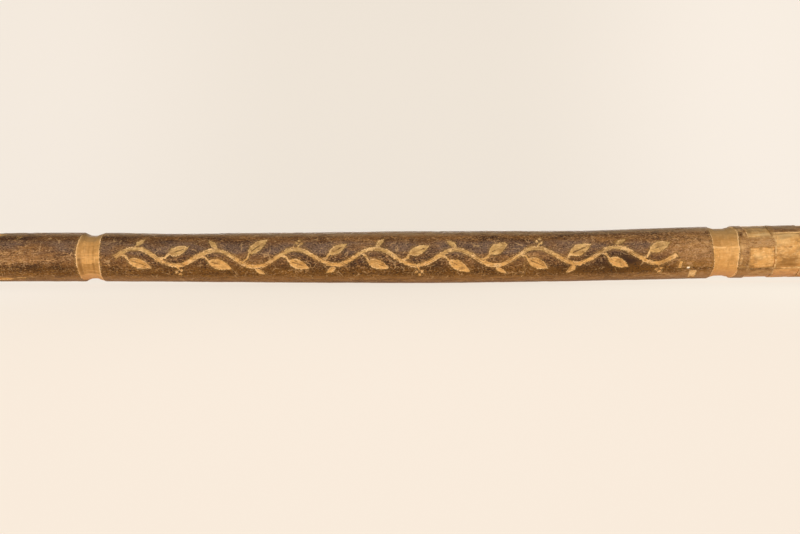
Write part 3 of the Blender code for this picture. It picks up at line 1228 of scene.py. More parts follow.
LEAF_BAND = BarkBand(
    "leaf_band_bark",
    "bark_leaf_band",
    section=1,
    step=0.00045,
    fine_mm=0.45,
    coarse_mm=0.80,
    end_shape=1.8,
    stains=patches(
        (0.2996, -0.45, 0.0009, 0.50, 0.85), (0.2996, 0.80, 0.0009, 0.60, 0.45),
        (0.2994, -0.10, 0.0005, 0.05, 0.90),
    ),
    overlaps=patches((0.2990, 1.45, 0.0080, 0.30, 1.9), (0.2990, -1.45, 0.0080, 0.30, 1.9)),
    pushes=patches((0.2981, 0.0, 0.0030, 0.60, -0.00085)),
    marks=(
        *(LeafCut(along, 12.2, 0.16, 10.0, 2.5) for along in (-197.5, -219.0, -240.5)),
        *(LeafCut(along, -12.0, -0.10, 10.0, 2.3) for along in (-193.0, -214.5, -236.0)),
        *(LeafCut(along, 30.0, 0.10, 9.5, 2.4) for along in (-199.0, -220.5, -242.0)),
        ChipCut(-180.8, 10.6, 0.7, 1.3, 0.35, 0.22),
        ChipCut(-180.0, -11.6, 0.05, 2.4, 0.55, 0.16),
    ),
)  # fmt: skip

CARVED_PANEL = BarkBand(
    "panel_bark",
    "bark_carved_panel",
    section=2,
    step=0.00046,
    fine_mm=0.46,
    coarse_mm=0.84,
    line_mm=0.7,
    end_line_mm=0.30,
    gleams=patches((0.5886, -0.99, 0.0025, 0.20, 0.90), (0.5860, -0.62, 0.0012, 0.08, 2.20)),
    pushes=patches((0.5971, -0.55, 0.0030, 0.45, 0.00075), (0.5971, 0.95, 0.0030, 0.25, -0.00070)),
    marks=(
        *Vine().cuts(),
        ChipCut(138.6, -11.7, 0.05, 1.75, 2.90, 0.45),
        ChipCut(132.0, -5.8, 1.45, 2.10, 0.85, 0.30),
        ChipCut(136.0, -7.1, 0.15, 1.00, 0.50, 0.25),
        ChipCut(58.0, -7.0, 1.45, 4.20, 0.16, 0.14),
    ),
)

CROOK_BARK = BarkBand(
    "crook_bark",
    "bark_crook_sleeve",
    section=4,
    marks=(
        ChipCut(262.0, 6.0, 0.4, 1.2, 0.5, 0.3),
        LeafCut(318.0, 12.0, 0.1, 3.6, 0.5, False),
        ChipCut(352.0, -9.0, -0.6, 1.0, 0.6, 0.3),
    ),
)


@dataclass(frozen=True)
class Windows:
    """The chequer's windows: columns of hand-set openings with a thin ridge between columns."""

    margin: float = 0.0055
    pitch: float = 0.0126
    ridge: float = 0.0008
    columns: int = 4
    turn: float = math.radians(36.0)
    nudges: Patches = patches((0.6141, 1.25, 0.0025, 0.35, -0.0015))
    early: Patches = patches((0.6262, 1.15, 0.0034, 0.50, -0.0018))
    steady: float = 0.004
    spans: tuple[tuple[tuple[float, float], ...], ...] = (
        ((-38.0, 9.0), (35.0, 97.0), (114.0, 160.0), (180.0, 228.0), (248.0, 293.0)),
        ((-38.0, 44.0), (83.0, 130.0), (150.0, 204.0), (222.0, 262.0), (273.0, 317.0)),
    )

    def boxes(self) -> list[tuple[float, float, float, float]]:
        """Start, end, first angle and last angle of each window.

        Returns:
            One box for each window, column by column.
        """
        start = BANDS.sections[3][0] + self.margin + self.ridge / 2
        made = []
        for column in range(self.columns):
            place = start + column * self.pitch
            turn = self.turn * (column // len(self.spans))
            for first, last in self.spans[column % len(self.spans)]:
                angles = (math.radians(first) + turn, math.radians(last) + turn)
                made.append((place, place + self.pitch - self.ridge, *angles))
        return made

    def inside(self, grid: Grid) -> Array:
        """How far inside a window each point is.

        Args:
            grid: The points.

        Returns:
            Distances in millimetres, negative on the bark.
        """
        best = grid.filled(-FAR_MM)
        for start, end, first, last in self.boxes():
            turn = np.abs(grid.turn((first + last) / 2))
            across = grid.radius * ((last - first) / 2 - turn)
            along = np.minimum(grid.places - start, end - grid.places)
            best = np.maximum(best, np.minimum(along, across) / MM)
        return best

    def warp(self, grid: Grid) -> Grid:
        """Moves points a little along and around, so that no window is quite square.

        Args:
            grid: The points.

        Returns:
            The moved points.
        """
        spots = grid.spots
        start, end = BANDS.sections[3]
        still = smooth(grid.places, start, start + self.steady)
        still *= 1.0 - smooth(grid.places, end - self.steady, end)
        along = (Grain(51).layers(spots / 5.5, 3) + 0.4) * 0.00045 + total(self.nudges, grid)
        ridge = start + self.margin + self.pitch
        before = 1.0 - smooth(grid.places, ridge - self.ridge / 2, ridge + self.ridge / 2)
        along = along + before * total(self.early, grid)
        around = Grain(52).layers(spots / 6.5, 3) * 0.00060
        return Grid(grid.places + along * still, grid.angles + around * still / grid.radius)

    def unwarp(self, grid: Grid) -> Grid:
        """Goes back from warped points to plain ones.

        Args:
            grid: The warped points, one row for each place.

        Returns:
            The plain points.
        """
        start, end = BANDS.sections[3]
        fine = np.linspace(start - 0.002, end + 0.002, 640)
        moved = self.warp(Grid.of(fine, grid.angles[0])).places
        columns = [np.interp(*pair, fine) for pair in zip(grid.places.T, moved.T)]
        plain = np.stack(columns, axis=1)
        turned = self.warp(Grid(plain, grid.angles)).angles
        return Grid(plain, 2.0 * grid.angles - turned)


WINDOWS = Windows()


@dataclass(frozen=True)
class ChequerBand(BarkBand):
    """The band of bark with the chequer's windows cut through it."""

    name: str = "chequer_bark"
    node: str = "bark_chequer_band"
    section: int = 3
    step: float = 0.00042
    fine_mm: float = 0.50
    coarse_mm: float = 0.80
    start_shape: float = 0.4
    rounding: float = 0.00016
    pushes: Patches = patches(
        (0.6086, 0.90, 0.0030, 0.42, 0.00150), (0.6086, 0.05, 0.0030, 0.50, 0.00130),
        (0.6086, -0.90, 0.0030, 0.35, 0.00110),
    )  # fmt: skip
    scuffs: Patches = patches(
        (0.6098, -0.20, 0.0012, 0.45, 0.40), (0.6205, 0.40, 0.0060, 0.12, 0.40),
        (0.6330, 0.66, 0.0060, 0.10, 0.40), (0.6205, -0.95, 0.0070, 0.20, 0.05),
    )  # fmt: skip
    shades: Patches = patches(
        (0.6104, -0.32, 0.0005, 0.18, -0.36), (0.6112, -0.05, 0.0030, 0.50, 0.16),
        (0.6104, 0.14, 0.0030, 0.17, 0.18), (0.6106, 0.72, 0.0016, 0.13, -0.26),
        (0.6100, -0.72, 0.0030, 0.10, -0.20), (0.6215, 0.28, 0.0070, 0.14, 0.30),
        (0.6205, -0.70, 0.0080, 0.045, -0.70), (0.6330, 1.00, 0.0060, 0.30, -0.20),
    )  # fmt: skip
    golden: Patches = patches(
        (0.6099, -0.27, 0.0007, 0.16, 0.95), (0.6097, 0.17, 0.0010, 0.12, 0.50),
        (0.6104, 0.96, 0.0016, 0.10, 0.50), (0.6124, 0.74, 0.0010, 0.12, 0.45),
        (0.6205, 0.47, 0.0060, 0.04, 0.30), (0.6205, 0.60, 0.0062, 0.045, 0.80),
        (0.6110, -0.66, 0.0040, 0.20, 0.25), (0.6330, 0.74, 0.0070, 0.10, 0.50),
        (0.6205, -0.98, 0.0090, 0.24, 0.36),
    )  # fmt: skip
    gleams: Patches = patches((0.6080, -0.15, 0.0012, 0.60, 0.15))
    unlipped: Patches = patches(
        (0.6205, -0.69, 0.0064, 0.11, 1.3), (0.6205, 0.14, 0.0058, 0.10, 1.0),
        (0.6141, -0.25, 0.0010, 0.42, 0.7), (0.6257, 1.15, 0.0012, 0.42, 2.0),
    )  # fmt: skip

    def lattice(self) -> tuple[Array, Array]:
        """Places and angles that meet every window's edges.

        Returns:
            The places and the angles, both rising.
        """
        boxes = WINDOWS.boxes()
        start, end = self.span
        edges = sorted({one for box in boxes for one in box[:2]})
        marks = [start - BANDS.chamfer, start, *edges, end, end + BANDS.chamfer]
        places = [one for pair in zip(marks, marks[1:]) for one in spread(*pair, self.step)]
        turns = sorted({one % math.tau for box in boxes for one in box[2:]})
        turns = [one for one, two in zip(turns, [*turns[1:], 99.0]) if two - one > 1e-6]
        angles: list[float] = []
        for one, two in zip(turns, [*turns[1:], turns[0] + math.tau]):
            middle = math.remainder((one + two) / 2, math.tau)
            step_mm = self.fine_mm if abs(middle) < math.radians(100.0) else self.coarse_mm
            angles += spread(one, two, step_mm * MM / STICK.handle_radius)
        return np.array([*places, marks[-1]]), np.array(angles)

    def solid(self, places: Array, angles: Array) -> Array:
        """Which cells of the lattice are bark and not window."""
        angle = (angles + np.append(angles[1:], angles[0] + math.tau)) / 2
        return WINDOWS.inside(Grid.of((places[:-1] + places[1:]) / 2, angle)) < 0.0

    def mesh(self) -> bpy.types.Object:
        """Builds the pierced sleeve.

        Returns:
            The sleeve.
        """
        places, angles = self.lattice()
        plain = Grid.of(places, angles)
        window, grid = WINDOWS.inside(plain), WINDOWS.warp(plain)
        outer, values = self.surface(grid)
        rounded = smooth(window, -0.50, 0.05) * self.rounding
        centre = grid.points(grid.filled(0.0))
        away = outer - centre
        outer = centre + away * (1.0 - rounded / np.linalg.norm(away, axis=-1))[..., None]
        values["inside"] = np.maximum(values["inside"], window)
        dull = np.clip(1.0 - total(self.unlipped, grid), 0.0, 1.0)
        gilt = np.clip(total(self.golden, grid), 0.0, 1.0)
        # The pale lip round each window: partly the cut bark's own colour, partly a painted
        # highlight on the edge.
        values["lip"] = np.maximum(smooth(window, -0.62, -0.30) * dull, gilt)
        worn = 0.34 + 0.24 * smooth(window, -1.6, -0.3) + total(self.scuffs, grid)
        values["wear"] = np.clip(worn, 0.0, 1.0)
        tone = 0.33 + np.maximum(values["tone"], 0.0) * 0.75 + total(self.shades, grid)
        values["tone"] = np.clip(tone, 0.0, 1.0)
        radii = grid.skin - BANDS.thickness
        inner_values = {
            **values,
            "inside": np.maximum(values["inside"], 4.0),
            "depth": grid.filled(HIDDEN_VALUES["depth"]),
            "spot": grid.straight(radii),
        }
        skins = (outer, grid.points(radii), self.solid(places, angles), values, inner_values)
        return PiercedSkin(self.name, *skins).build()


@dataclass(frozen=True)
class WoodCore(Piece):
    """The wood under the bark, shown in the rings, the chequer's windows and the nose."""

    name: str = "cane_wood"
    node: str = "wood_core"
    slot: Slot = Slot.WOOD
    under: float = 0.00084
    slope: float = 0.0012
    window_floor: float = 0.00028
    window_clear: float = 0.50
    dip: float = 0.00015
    tenon_start: float = 0.0048
    tenon_radius: float = 0.0088
    nose_round: float = 0.0055
    hidden_step: float = 0.009
    checks: tuple[tuple[float, float], ...] = ((0.7, 0.9), (2.9, 0.6), (4.6, 0.75))
    shades: Patches = patches(
        (0.6345, -0.28, 0.0050, 0.30, -0.38), (0.6300, 0.40, 0.0060, 0.24, 0.40),
        (0.6285, -0.56, 0.0036, 0.11, -0.50), (0.6200, 0.95, 0.0120, 0.40, -0.08),
        (0.6205, 0.72, 0.0060, 0.07, 0.70), (0.6335, 0.72, 0.0070, 0.14, 0.50),
        (0.6215, -0.20, 0.0040, 0.20, 0.25), (0.6310, -0.35, 0.0050, 0.25, -0.20),
        (0.6350, -0.55, 0.0045, 0.10, -0.60), (0.6150, 0.02, 0.0012, 0.18, -0.40),
        (0.6180, -0.14, 0.0020, 0.14, 0.35), (0.3052, -0.10, 0.0006, 0.90, -0.35),
        (0.3030, 0.10, 0.0004, 0.70, -0.25),
    )  # fmt: skip

    def stations(self) -> Array:
        """Places of the rings: close where the wood shows and wide under the bark.

        Returns:
            Rising places.
        """
        band = BANDS.sections[3]
        shown = [(one - 0.0004, two + 0.0004) for one, two in BANDS.gaps]
        nose = (STICK.nose_end - BANDS.bare_nose - 0.001, STICK.nose_end - self.nose_round)
        made = [self.tenon_start, self.tenon_start + 0.001]
        made += [STICK.cup_end - 0.0008, STICK.cup_end - 0.0004]
        place = STICK.cup_end + 0.0004
        for one, two in sorted([*shown, band, nose]):
            if one > place + 0.001:
                made += spread(place, one, self.hidden_step)
            made += spread(one, two, 0.00032 if (one, two) == band else 0.00040)
            place = two
        return np.array(made)

    def tone(self, grid: Grid) -> Array:
        """How much lighter, or darker below 0, the wood is than its own colour: in the rings, the
        flats' painted light and shade, with patches.

        Args:
            grid: The points.

        Returns:
            Tones from -1 to 1.
        """
        made = grid.filled(0.0)
        for flats, (start, end) in zip(FLATS, BANDS.gaps):
            there = (grid.places > start - 0.001) & (grid.places < end + 0.001)
            made = np.where(there, flats.tone(grid), made)
        return np.clip(made + total(self.shades, grid), -1.0, 1.0)

    def depths(self, grid: Grid) -> tuple[Array, Array]:
        """How deep the wood lies under the bark's surface.

        Args:
            grid: The points.

        Returns:
            The depths in metres, and how far inside a ring or window each point is, in
            millimetres.
        """
        places = grid.places
        depth, inside = grid.filled(self.under), grid.filled(-FAR_MM)
        for flats, (start, end) in zip(FLATS, BANDS.gaps):
            first, last = start + BANDS.chamfer, end - BANDS.chamfer
            reach = np.minimum(places - first, last - places)
            hollow = np.clip(reach / (last - first) * 2, 0.0, 1.0) * flats.waist
            floor = flats.floor + hollow + flats.depth(grid)
            depth += smooth(reach, 0.0003, self.slope) * (floor - self.under)
            inside = np.maximum(inside, np.minimum(places - start, end - places) / MM)
        spots = grid.spots
        start, end = BANDS.sections[3]
        in_band = (places > start) & (places < end)
        window = WINDOWS.inside(WINDOWS.unwarp(grid))
        dips = np.abs(Grain(61).layers(spots / (6.0, 4.0, 4.0), 2)) * self.dip
        risen = smooth(window, -0.16, 0.16) * (self.under - self.window_floor)
        depth = np.where(in_band, depth + dips - risen, depth)
        inside = np.where(in_band, window + self.window_clear, inside)
        depth += Grain(62).layers(spots / (2.6, 0.5, 0.5), 2) * 0.00003 * (inside > -1.0)
        return depth, inside

    def nose_rings(self, angles: Array) -> tuple[Array, dict[str, Array]]:
        """The rounded end of the nose, with its end grain and drying checks.

        Args:
            angles: Angles round the stick.

        Returns:
            The rings' points and their values.
        """
        turns = np.linspace(0.0, math.pi / 2, 22)[1:]
        inward = np.linspace(0.0, 1.0, 16)[1:-1]
        places = STICK.nose_end - self.nose_round * (1.0 - np.sin(turns))
        shoulder = STICK.handle_radius - self.under - self.nose_round
        drop = (self.nose_round * (1.0 - np.cos(turns)), self.nose_round + shoulder * inward)
        grid = Grid.of((*places, *np.full(len(inward), STICK.nose_end)), angles)
        radii = grid.skin - self.under - np.concatenate(drop)[:, None]
        spots, outness = grid.straight(radii), radii / STICK.handle_radius
        check = grid.filled(0.0)
        for angle, reach in self.checks:
            far = smooth(outness, 0.12, 0.3) * (1.0 - smooth(outness, reach - 0.1, reach))
            line = bell(np.abs(grid.turn(angle)) * radii / MM / 0.28)
            check = np.maximum(check, line * far)
        crown = 1.0 - outness**2
        faces = Grain(63).layers(spots / (2.0, 3.4, 3.4), 2) * 0.00012
        along = grid.places + crown * 0.00055 + faces * crown - check * 0.00045
        points = Grid(np.minimum(along, STICK.nose_end + 0.0004), grid.angles).points(radii)
        plain = {"inside": 4.0, "depth": 1.0, "wear": 0.55, "tone": 0.0}
        values = {"spot": spots, **{key: grid.filled(value) for key, value in plain.items()}}
        values["depth"] += check
        return points, values

    def mesh(self) -> bpy.types.Object:
        """Builds the wood as one closed body.

        Returns:
            The wood.
        """
        angles = round_angles(0.50, 0.76)
        grid = Grid.of(self.stations(), angles)
        depth, inside = self.depths(grid)
        radii = np.where(grid.places < STICK.cup_end, self.tenon_radius, grid.skin - depth)
        start, end = BANDS.sections[3]
        in_band = (grid.places > start) & (grid.places < end)
        nose = smooth(grid.places, STICK.nose_end - 0.010, STICK.nose_end - 0.008)
        values = {
            "spot": grid.straight(radii),
            "inside": np.maximum(inside, nose * 4.0),
            "depth": depth / MM,
            "wear": 0.25 + 0.3 * nose + 0.45 * in_band,
            "tone": self.tone(grid),
        }
        end_points, end_values = self.nose_rings(angles)
        rings = np.concatenate((grid.points(radii), end_points))
        return Skin(self.name, rings, joined(values, end_values), True).build()


Profile = list[tuple[float, float]]


def arc_profile(
    middle: tuple[float, float], radius: float, start: float, end: float, count: int
) -> Profile:
    """Points of an arc round a middle, where an angle of 0 looks towards the handle."""
    turns = [(math.cos(turn), math.sin(turn)) for turn in np.linspace(start, end, count)]
    return [(middle[0] + radius * one, middle[1] + radius * two) for one, two in turns]


@dataclass(frozen=True)
class Turning(Piece):
    """A piece of the ferrule, turned round the tip's own level axis."""

    slot: Slot = Slot.STEEL
    columns: int = 128
    capped: bool = False

    def profile(self) -> Profile:
        """Pairs of a distance from the tip and a radius."""
        raise NotImplementedError

    def worked(self, grid: Grid, radii: Array) -> tuple[Array, Array, Array]:
        """The places and radii as use has left them, and where the metal is rubbed."""
        raise NotImplementedError

    def mesh(self) -> bpy.types.Object:
        """Builds the piece.

        Returns:
            The piece.
        """
        places, radii = np.array(self.profile()).T
        grid = Grid.of(places, np.linspace(0.0, math.tau, self.columns, endpoint=False))
        radii = np.repeat(radii[:, None], self.columns, axis=1)
        places, worn, rub = self.worked(grid, radii)
        across, upward = -worn * np.cos(grid.angles), worn * np.sin(grid.angles)
        points = np.stack((places, across, STICK.tip_height + upward), axis=-1)
        values = {"spot": grid.straight(radii), "rub": np.clip(rub, 0.0, 1.0)}
        return Skin(self.name, STICK.origin() + points, values, self.capped).build()


@dataclass(frozen=True)
class Cup(Turning):
    """The steel cup of the ferrule, with a rolled bead at its mouth."""

    name: str = "ferrule"
    node: str = "ferrule_cup"
    start: float = 0.0033
    end: float = 0.0373
    mouth_radius: float = 0.01045
    taper: float = 0.0015
    wall: float = 0.0009
    corner: float = 0.0008
    bead: float = 0.0020
    bead_height: float = 0.0004
    bead_sunk: float = 0.0006
    hole: float = 0.0027
    floor: float = 0.0012
    dent: float = 0.00006
    end_dent: float = 0.00010
    nick: float = 0.00012

    def radius(self, place: float) -> float:
        """Outer radius of the wall."""
        return self.mouth_radius - self.taper * (self.end - place) / (self.end - self.start)

    def profile(self) -> Profile:
        """The cup's section, from the hole in its floor round the outside and back inside.

        Returns:
            The section's points in order.
        """
        low = self.radius(self.start)
        made = [(self.start, self.hole), (self.start, low * 0.6)]
        middle = (self.start + self.corner, low - self.corner)
        made += arc_profile(middle, self.corner, math.pi, math.pi / 2, 8)
        neck = self.end - self.bead - self.bead_height
        wall = [*spread(self.start + self.corner + 0.0006, neck, 0.0007), neck]
        made += [(place, self.radius(place)) for place in wall]
        middle = (self.end - self.bead / 2, self.mouth_radius - self.bead_sunk)
        for turn in np.radians(np.linspace(160.0, 8.0, 12)):
            swell = math.sin(turn) * (self.bead_height + self.bead_sunk)
            made.append((middle[0] + math.cos(turn) * self.bead / 2, middle[1] + swell))
        inner = self.mouth_radius - self.wall
        made += [(self.end - 0.0001, inner + 0.0002), (self.end - 0.0003, inner)]
        back = self.start + self.floor
        made += [(place, self.radius(place) - self.wall) for place in (back + 0.004, back)]
        return [*made, (back, self.hole)]

    def worked(self, grid: Grid, radii: Array) -> tuple[Array, Array, Array]:
        """Dents and scuffs the cup, most of all towards the tip.

        Args:
            grid: Its points.
            radii: Their radii.

        Returns:
            Their places, their new radii and how rubbed they are.
        """
        places, spots = grid.places, grid.straight(radii)
        outside = radii > self.mouth_radius - self.wall * 0.7 - self.taper
        outside &= places > self.start + 0.0002
        low_end = 1.0 - smooth(places, self.start, self.start + 0.012)
        dent = Grain(81).layers(spots / (6.0, 5.0, 5.0), 2) * (self.dent + self.end_dent * low_end)
        nick = smooth(Grain(82).at(spots / (1.8, 1.4, 1.4)), 0.55, 0.85) * self.nick * low_end
        bead = smooth(places, self.end - self.bead, self.end - self.bead * 0.6)
        foot = 1.0 - smooth(places, self.start + 0.0002, self.start + 0.0030)
        return places, radii + (dent - nick) * outside, np.maximum(bead * 0.8, foot)


@dataclass(frozen=True)
class Stud(Turning):
    """The wear stud: a flange that meets the ground, on a shank that goes up into the wood."""

    name: str = "stud"
    node: str = "wear_stud"
    columns: int = 112
    capped: bool = True
    flange: float = 0.0030
    rim: float = 0.00775
    edge: float = 0.0009
    shank_radius: float = 0.0024
    shank_end: float = 0.0210
    point: float = 0.0030
    face_wear: float = 0.00014
    rim_wave: float = 0.00012

    def profile(self) -> Profile:
        """The stud's section, from the middle of its face outwards and up the shank.

        Returns:
            The section's points in order.
        """
        middle = (self.edge, self.rim - self.edge)
        made = [(0.0, radius) for radius in np.linspace(0.0006, middle[1], 14)]
        made += arc_profile(middle, self.edge, math.pi, math.pi / 2, 9)[1:]
        made += [(self.flange - 0.0002, self.rim), (self.flange, self.rim - 0.0002)]
        made += [(self.flange, self.shank_radius + 0.0004)]
        made += [(self.flange + 0.0004, self.shank_radius)]
        made += [(self.shank_end - self.point, self.shank_radius)]
        return [*made, (self.shank_end, self.shank_radius / 4)]

    def worked(self, grid: Grid, radii: Array) -> tuple[Array, Array, Array]:
        """Wears the face down on the ground.

        Args:
            grid: Its points.
            radii: Their radii.

        Returns:
            Their new places, their new radii and how rubbed they are.
        """
        spots = grid.straight(radii)
        face = 1.0 - smooth(grid.places, 0.0, self.edge)
        worn = np.abs(Grain(84).layers(spots / (1.0, 1.6, 1.6), 3)) * self.face_wear
        wave = Grain(85).layers(spots / (3.0, 3.0, 3.0), 2) * self.rim_wave
        wave *= smooth(radii, self.rim - 0.0006, self.rim)
        return grid.places + worn * face, radii + wave, face + 0.15


@dataclass(frozen=True)
class Pin(Piece):
    """A round-headed pin through the cup's wall: towards the camera, or away from it."""

    slot: Slot = Slot.BRASS
    angle: float = 0.0
    place: float = 0.0240
    seat: float = 0.01030
    head_radius: float = 0.0019
    head_height: float = 0.0007
    head_sunk: float = 0.0001
    shank_radius: float = 0.0009
    length: float = 0.0050
    point: float = 0.0018
    hammering: float = 0.00005
    columns: int = 40

    def profile(self) -> Profile:
        """Distance out from the wall and radius, from the point to the top of the dome.

        Returns:
            The section's points in order.
        """
        sunk = self.head_sunk
        made = [(-self.length, self.shank_radius / 4)]
        made += [(-self.length + self.point, self.shank_radius), (-sunk, self.shank_radius)]
        made += [(-sunk, self.head_radius * 0.97), (sunk, self.head_radius)]
        for turn in np.linspace(0.12, 1.0, 10)[:-1] * math.pi / 2:
            out = sunk + (self.head_height - sunk) * math.sin(turn)
            made.append((out, self.head_radius * math.cos(turn)))
        return made

    def mesh(self) -> bpy.types.Object:
        """Builds the pin with a hammered dome.

        Returns:
            The pin.
        """
        out, radius = np.array(self.profile()).T
        grid = Grid.of(out, np.linspace(0.0, math.tau, self.columns, endpoint=False))
        outs, radii = grid.places, np.repeat(radius[:, None], self.columns, axis=1)
        along, upward = radii * np.cos(grid.angles), radii * np.sin(grid.angles)
        spots = np.stack((along, outs, upward), axis=-1) / MM
        top = smooth(outs, self.head_sunk, self.head_height)
        outs = outs + Grain(88).layers(spots / 0.9 + self.angle, 2) * self.hammering * top
        direction = -math.cos(self.angle)
        across = direction * (self.seat + outs)
        points = np.stack((self.place + along, across, STICK.tip_height + upward), axis=-1)
        order = slice(None, None, -1 if direction < 0 else 1)
        values = {"spot": spots[:, order], "rub": top[:, order]}
        return Skin(self.name, STICK.origin() + points[:, order], values, True).build()


@dataclass(frozen=True)
class Value:
    """What a socket gives. Its operators and methods add nodes to its bench's tree."""

    bench: "Bench"
    socket: bpy.types.NodeSocket

    def __add__(self, other: "Feed") -> "Value":
        """Adds a value."""
        return self.bench.math("ADD", self, other)

    def __sub__(self, other: "Feed") -> "Value":
        """Takes a value away."""
        return self.bench.math("SUBTRACT", self, other)

    def __mul__(self, other: "Feed") -> "Value":
        """Multiplies by a value."""
        return self.bench.math("MULTIPLY", self, other)

    def __or__(self, other: "Feed") -> "Value":
        """The larger of two values."""
        return self.bench.math("MAXIMUM", self, other)

    def rest(self) -> "Value":
        """What is left of 1."""
        return self.bench.math("SUBTRACT", 1.0, self)

    def off(self, other: "Feed") -> "Value":
        """How far the value is from another, either way."""
        return self.bench.math("ABSOLUTE", self - other)

    def rise(self, low: "Feed", high: "Feed") -> "Value":
        """A smooth rise from 0 at low to 1 at high."""
        feeds = {"Value": self, "From Min": low, "From Max": high}
        return self.bench.give("ShaderNodeMapRange", feeds, interpolation_type="SMOOTHSTEP")

    def between(self, low: "Feed", high: "Feed") -> "Value":
        """Maps 0 to 1 onto low to high."""
        return self.bench.give("ShaderNodeMapRange", {"Value": self, "To Min": low, "To Max": high})

    def under(self, over: "Feed", share: "Feed", blend: str = "MIX") -> "Value":
        """Lays a share of a colour over this one."""
        return self.bench.mix(share, self, over, blend)

    def parts(self) -> list["Value"]:
        """The three parts of a place."""
        node = self.bench.add("ShaderNodeSeparateXYZ", {0: self})
        return [Value(self.bench, output) for output in node.outputs]


Feed = Value | float | Colour
EFFECTS: dict[str, bpy.types.NodeTree] = {}
STREAK_INPUTS = {"Cell": 1.0, "Stretch": 2.0, "Detail": 2.0, "Low": 0.4, "High": 0.6, "Shift": 0.0}


class Bench:
    """Adds the nodes of one tree and joins them."""

    def __init__(self, tree: bpy.types.NodeTree) -> None:
        """Keeps the tree."""
        self.tree = tree
        self.spot: Value | None = None

    def join(self, feed: Feed, socket: bpy.types.NodeSocket) -> None:
        """Feeds an input with a link, or with a plain value.

        Args:
            feed: What to link from, or the value.
            socket: The input.
        """
        if isinstance(feed, Value):
            self.tree.links.new(feed.socket, socket)
        else:
            socket.default_value = feed

    def add(self, kind: str, feeds: dict[str | int, Feed], **settings: object) -> bpy.types.Node:
        """Adds a node.

        Args:
            kind: The node's type.
            feeds: What goes into its inputs.
            settings: The node's own settings.

        Returns:
            The node.
        """
        node = self.tree.nodes.new(kind)
        for key, value in settings.items():
            setattr(node, key, value)
        for key, feed in feeds.items():
            self.join(feed, node.inputs[key])
        return node

    def give(
        self, kind: str, feeds: dict[str | int, Feed], output: str | int = 0, **settings: object
    ) -> Value:
        """Adds a node and gives one of its outputs."""
        return Value(self, self.add(kind, feeds, **settings).outputs[output])

    def math(self, operation: str, one: Feed, two: Feed = 0.0, clamp: bool = False) -> Value:
        """Adds a Math node and gives its result."""
        return self.give("ShaderNodeMath", {0: one, 1: two}, operation=operation, use_clamp=clamp)

    def mix(self, share: Feed, one: Feed, two: Feed, blend: str = "MIX") -> Value:
        """Adds a colour mix and gives its result."""
        feeds = {0: share, 6: one, 7: two}
        return self.give("ShaderNodeMix", feeds, 2, data_type="RGBA", blend_type=blend)

    def vector(self, operation: str, one: Feed, two: Feed) -> Value:
        """Adds a Vector Math node and gives its result."""
        return self.give("ShaderNodeVectorMath", {0: one, 1: two}, operation=operation)

    def triple(self, value: Feed) -> Value:
        """The same value on all three axes."""
        return self.give("ShaderNodeCombineXYZ", {0: value, 1: value, 2: value})

    def noise(self, spot: Feed, detail: Feed, rough: float = 0.5) -> Value:
        """Adds noise with cells of size 1 and gives its value."""
        feeds = {"Vector": spot, "Scale": 1.0, "Detail": detail, "Roughness": rough}
        return self.give("ShaderNodeTexNoise", feeds, "Fac")

    def value(self, name: str, output: str = "Fac") -> Value:
        """Adds a reader of one of the mesh's values."""
        return self.give("ShaderNodeAttribute", {}, output, attribute_name=name)

    def drawn_out(self, cell: Feed, stretch: Feed) -> Value:
        """The place of a point in cells that are longer along the stick.

        Args:
            cell: Size of a cell round the stick, in millimetres.
            stretch: How many times longer it is along the stick.

        Returns:
            The place.
        """
        along, across, upward = self.spot.parts()
        feeds = {0: self.math("DIVIDE", along, stretch), 1: across, 2: upward}
        return self.vector("DIVIDE", self.give("ShaderNodeCombineXYZ", feeds), self.triple(cell))

    def effect(self, name: str, **feeds: Feed) -> dict[str, Value]:
        """Adds a shared effect.

        Args:
            name: The effect's name.
            feeds: What goes into its inputs, by their names in lower case.

        Returns:
            What its outputs give.
        """
        titled = {key.capitalize(): feed for key, feed in feeds.items()}
        node = self.add("ShaderNodeGroup", {"Spot": self.spot, **titled}, node_tree=EFFECTS[name])
        return {output.name: Value(self, output) for output in node.outputs}

    def mask(self, name: str, **feeds: Feed) -> Value:
        """Adds a shared effect that gives a mask."""
        return self.effect(name, **feeds)["Mask"]

    def streak(self, *sizes: float) -> Value:
        """Adds the streaks effect, with values for its inputs in their own order."""
        titles = (title.lower() for title in STREAK_INPUTS)
        return self.mask("streaks", **dict(zip(titles, sizes)))

    def surface(
        self, shader: bpy.types.Node, colour: Value, rough: Value, height: Value, bump: float
    ) -> None:
        """Joins a finish to its shader.

        Args:
            shader: The Principled node.
            colour: Its colour.
            rough: Its roughness.
            height: Height of its fine relief, 0 to 1.
            bump: What a height of 1 stands for.
        """
        feeds = {"Strength": 1.0, "Distance": bump, "Height": height}
        given = {"Base Color": colour, "Roughness": rough}
        for title, feed in {**given, "Normal": self.give("ShaderNodeBump", feeds)}.items():
            self.join(feed, shader.inputs[title])


FLOAT, COLOUR, VECTOR = "NodeSocketFloat", "NodeSocketColor", "NodeSocketVector"
RING_PALE = linear(228, 172, 100)
RING_DEEP = linear(194, 138, 72)
WOOD_GLOSS = 0.16


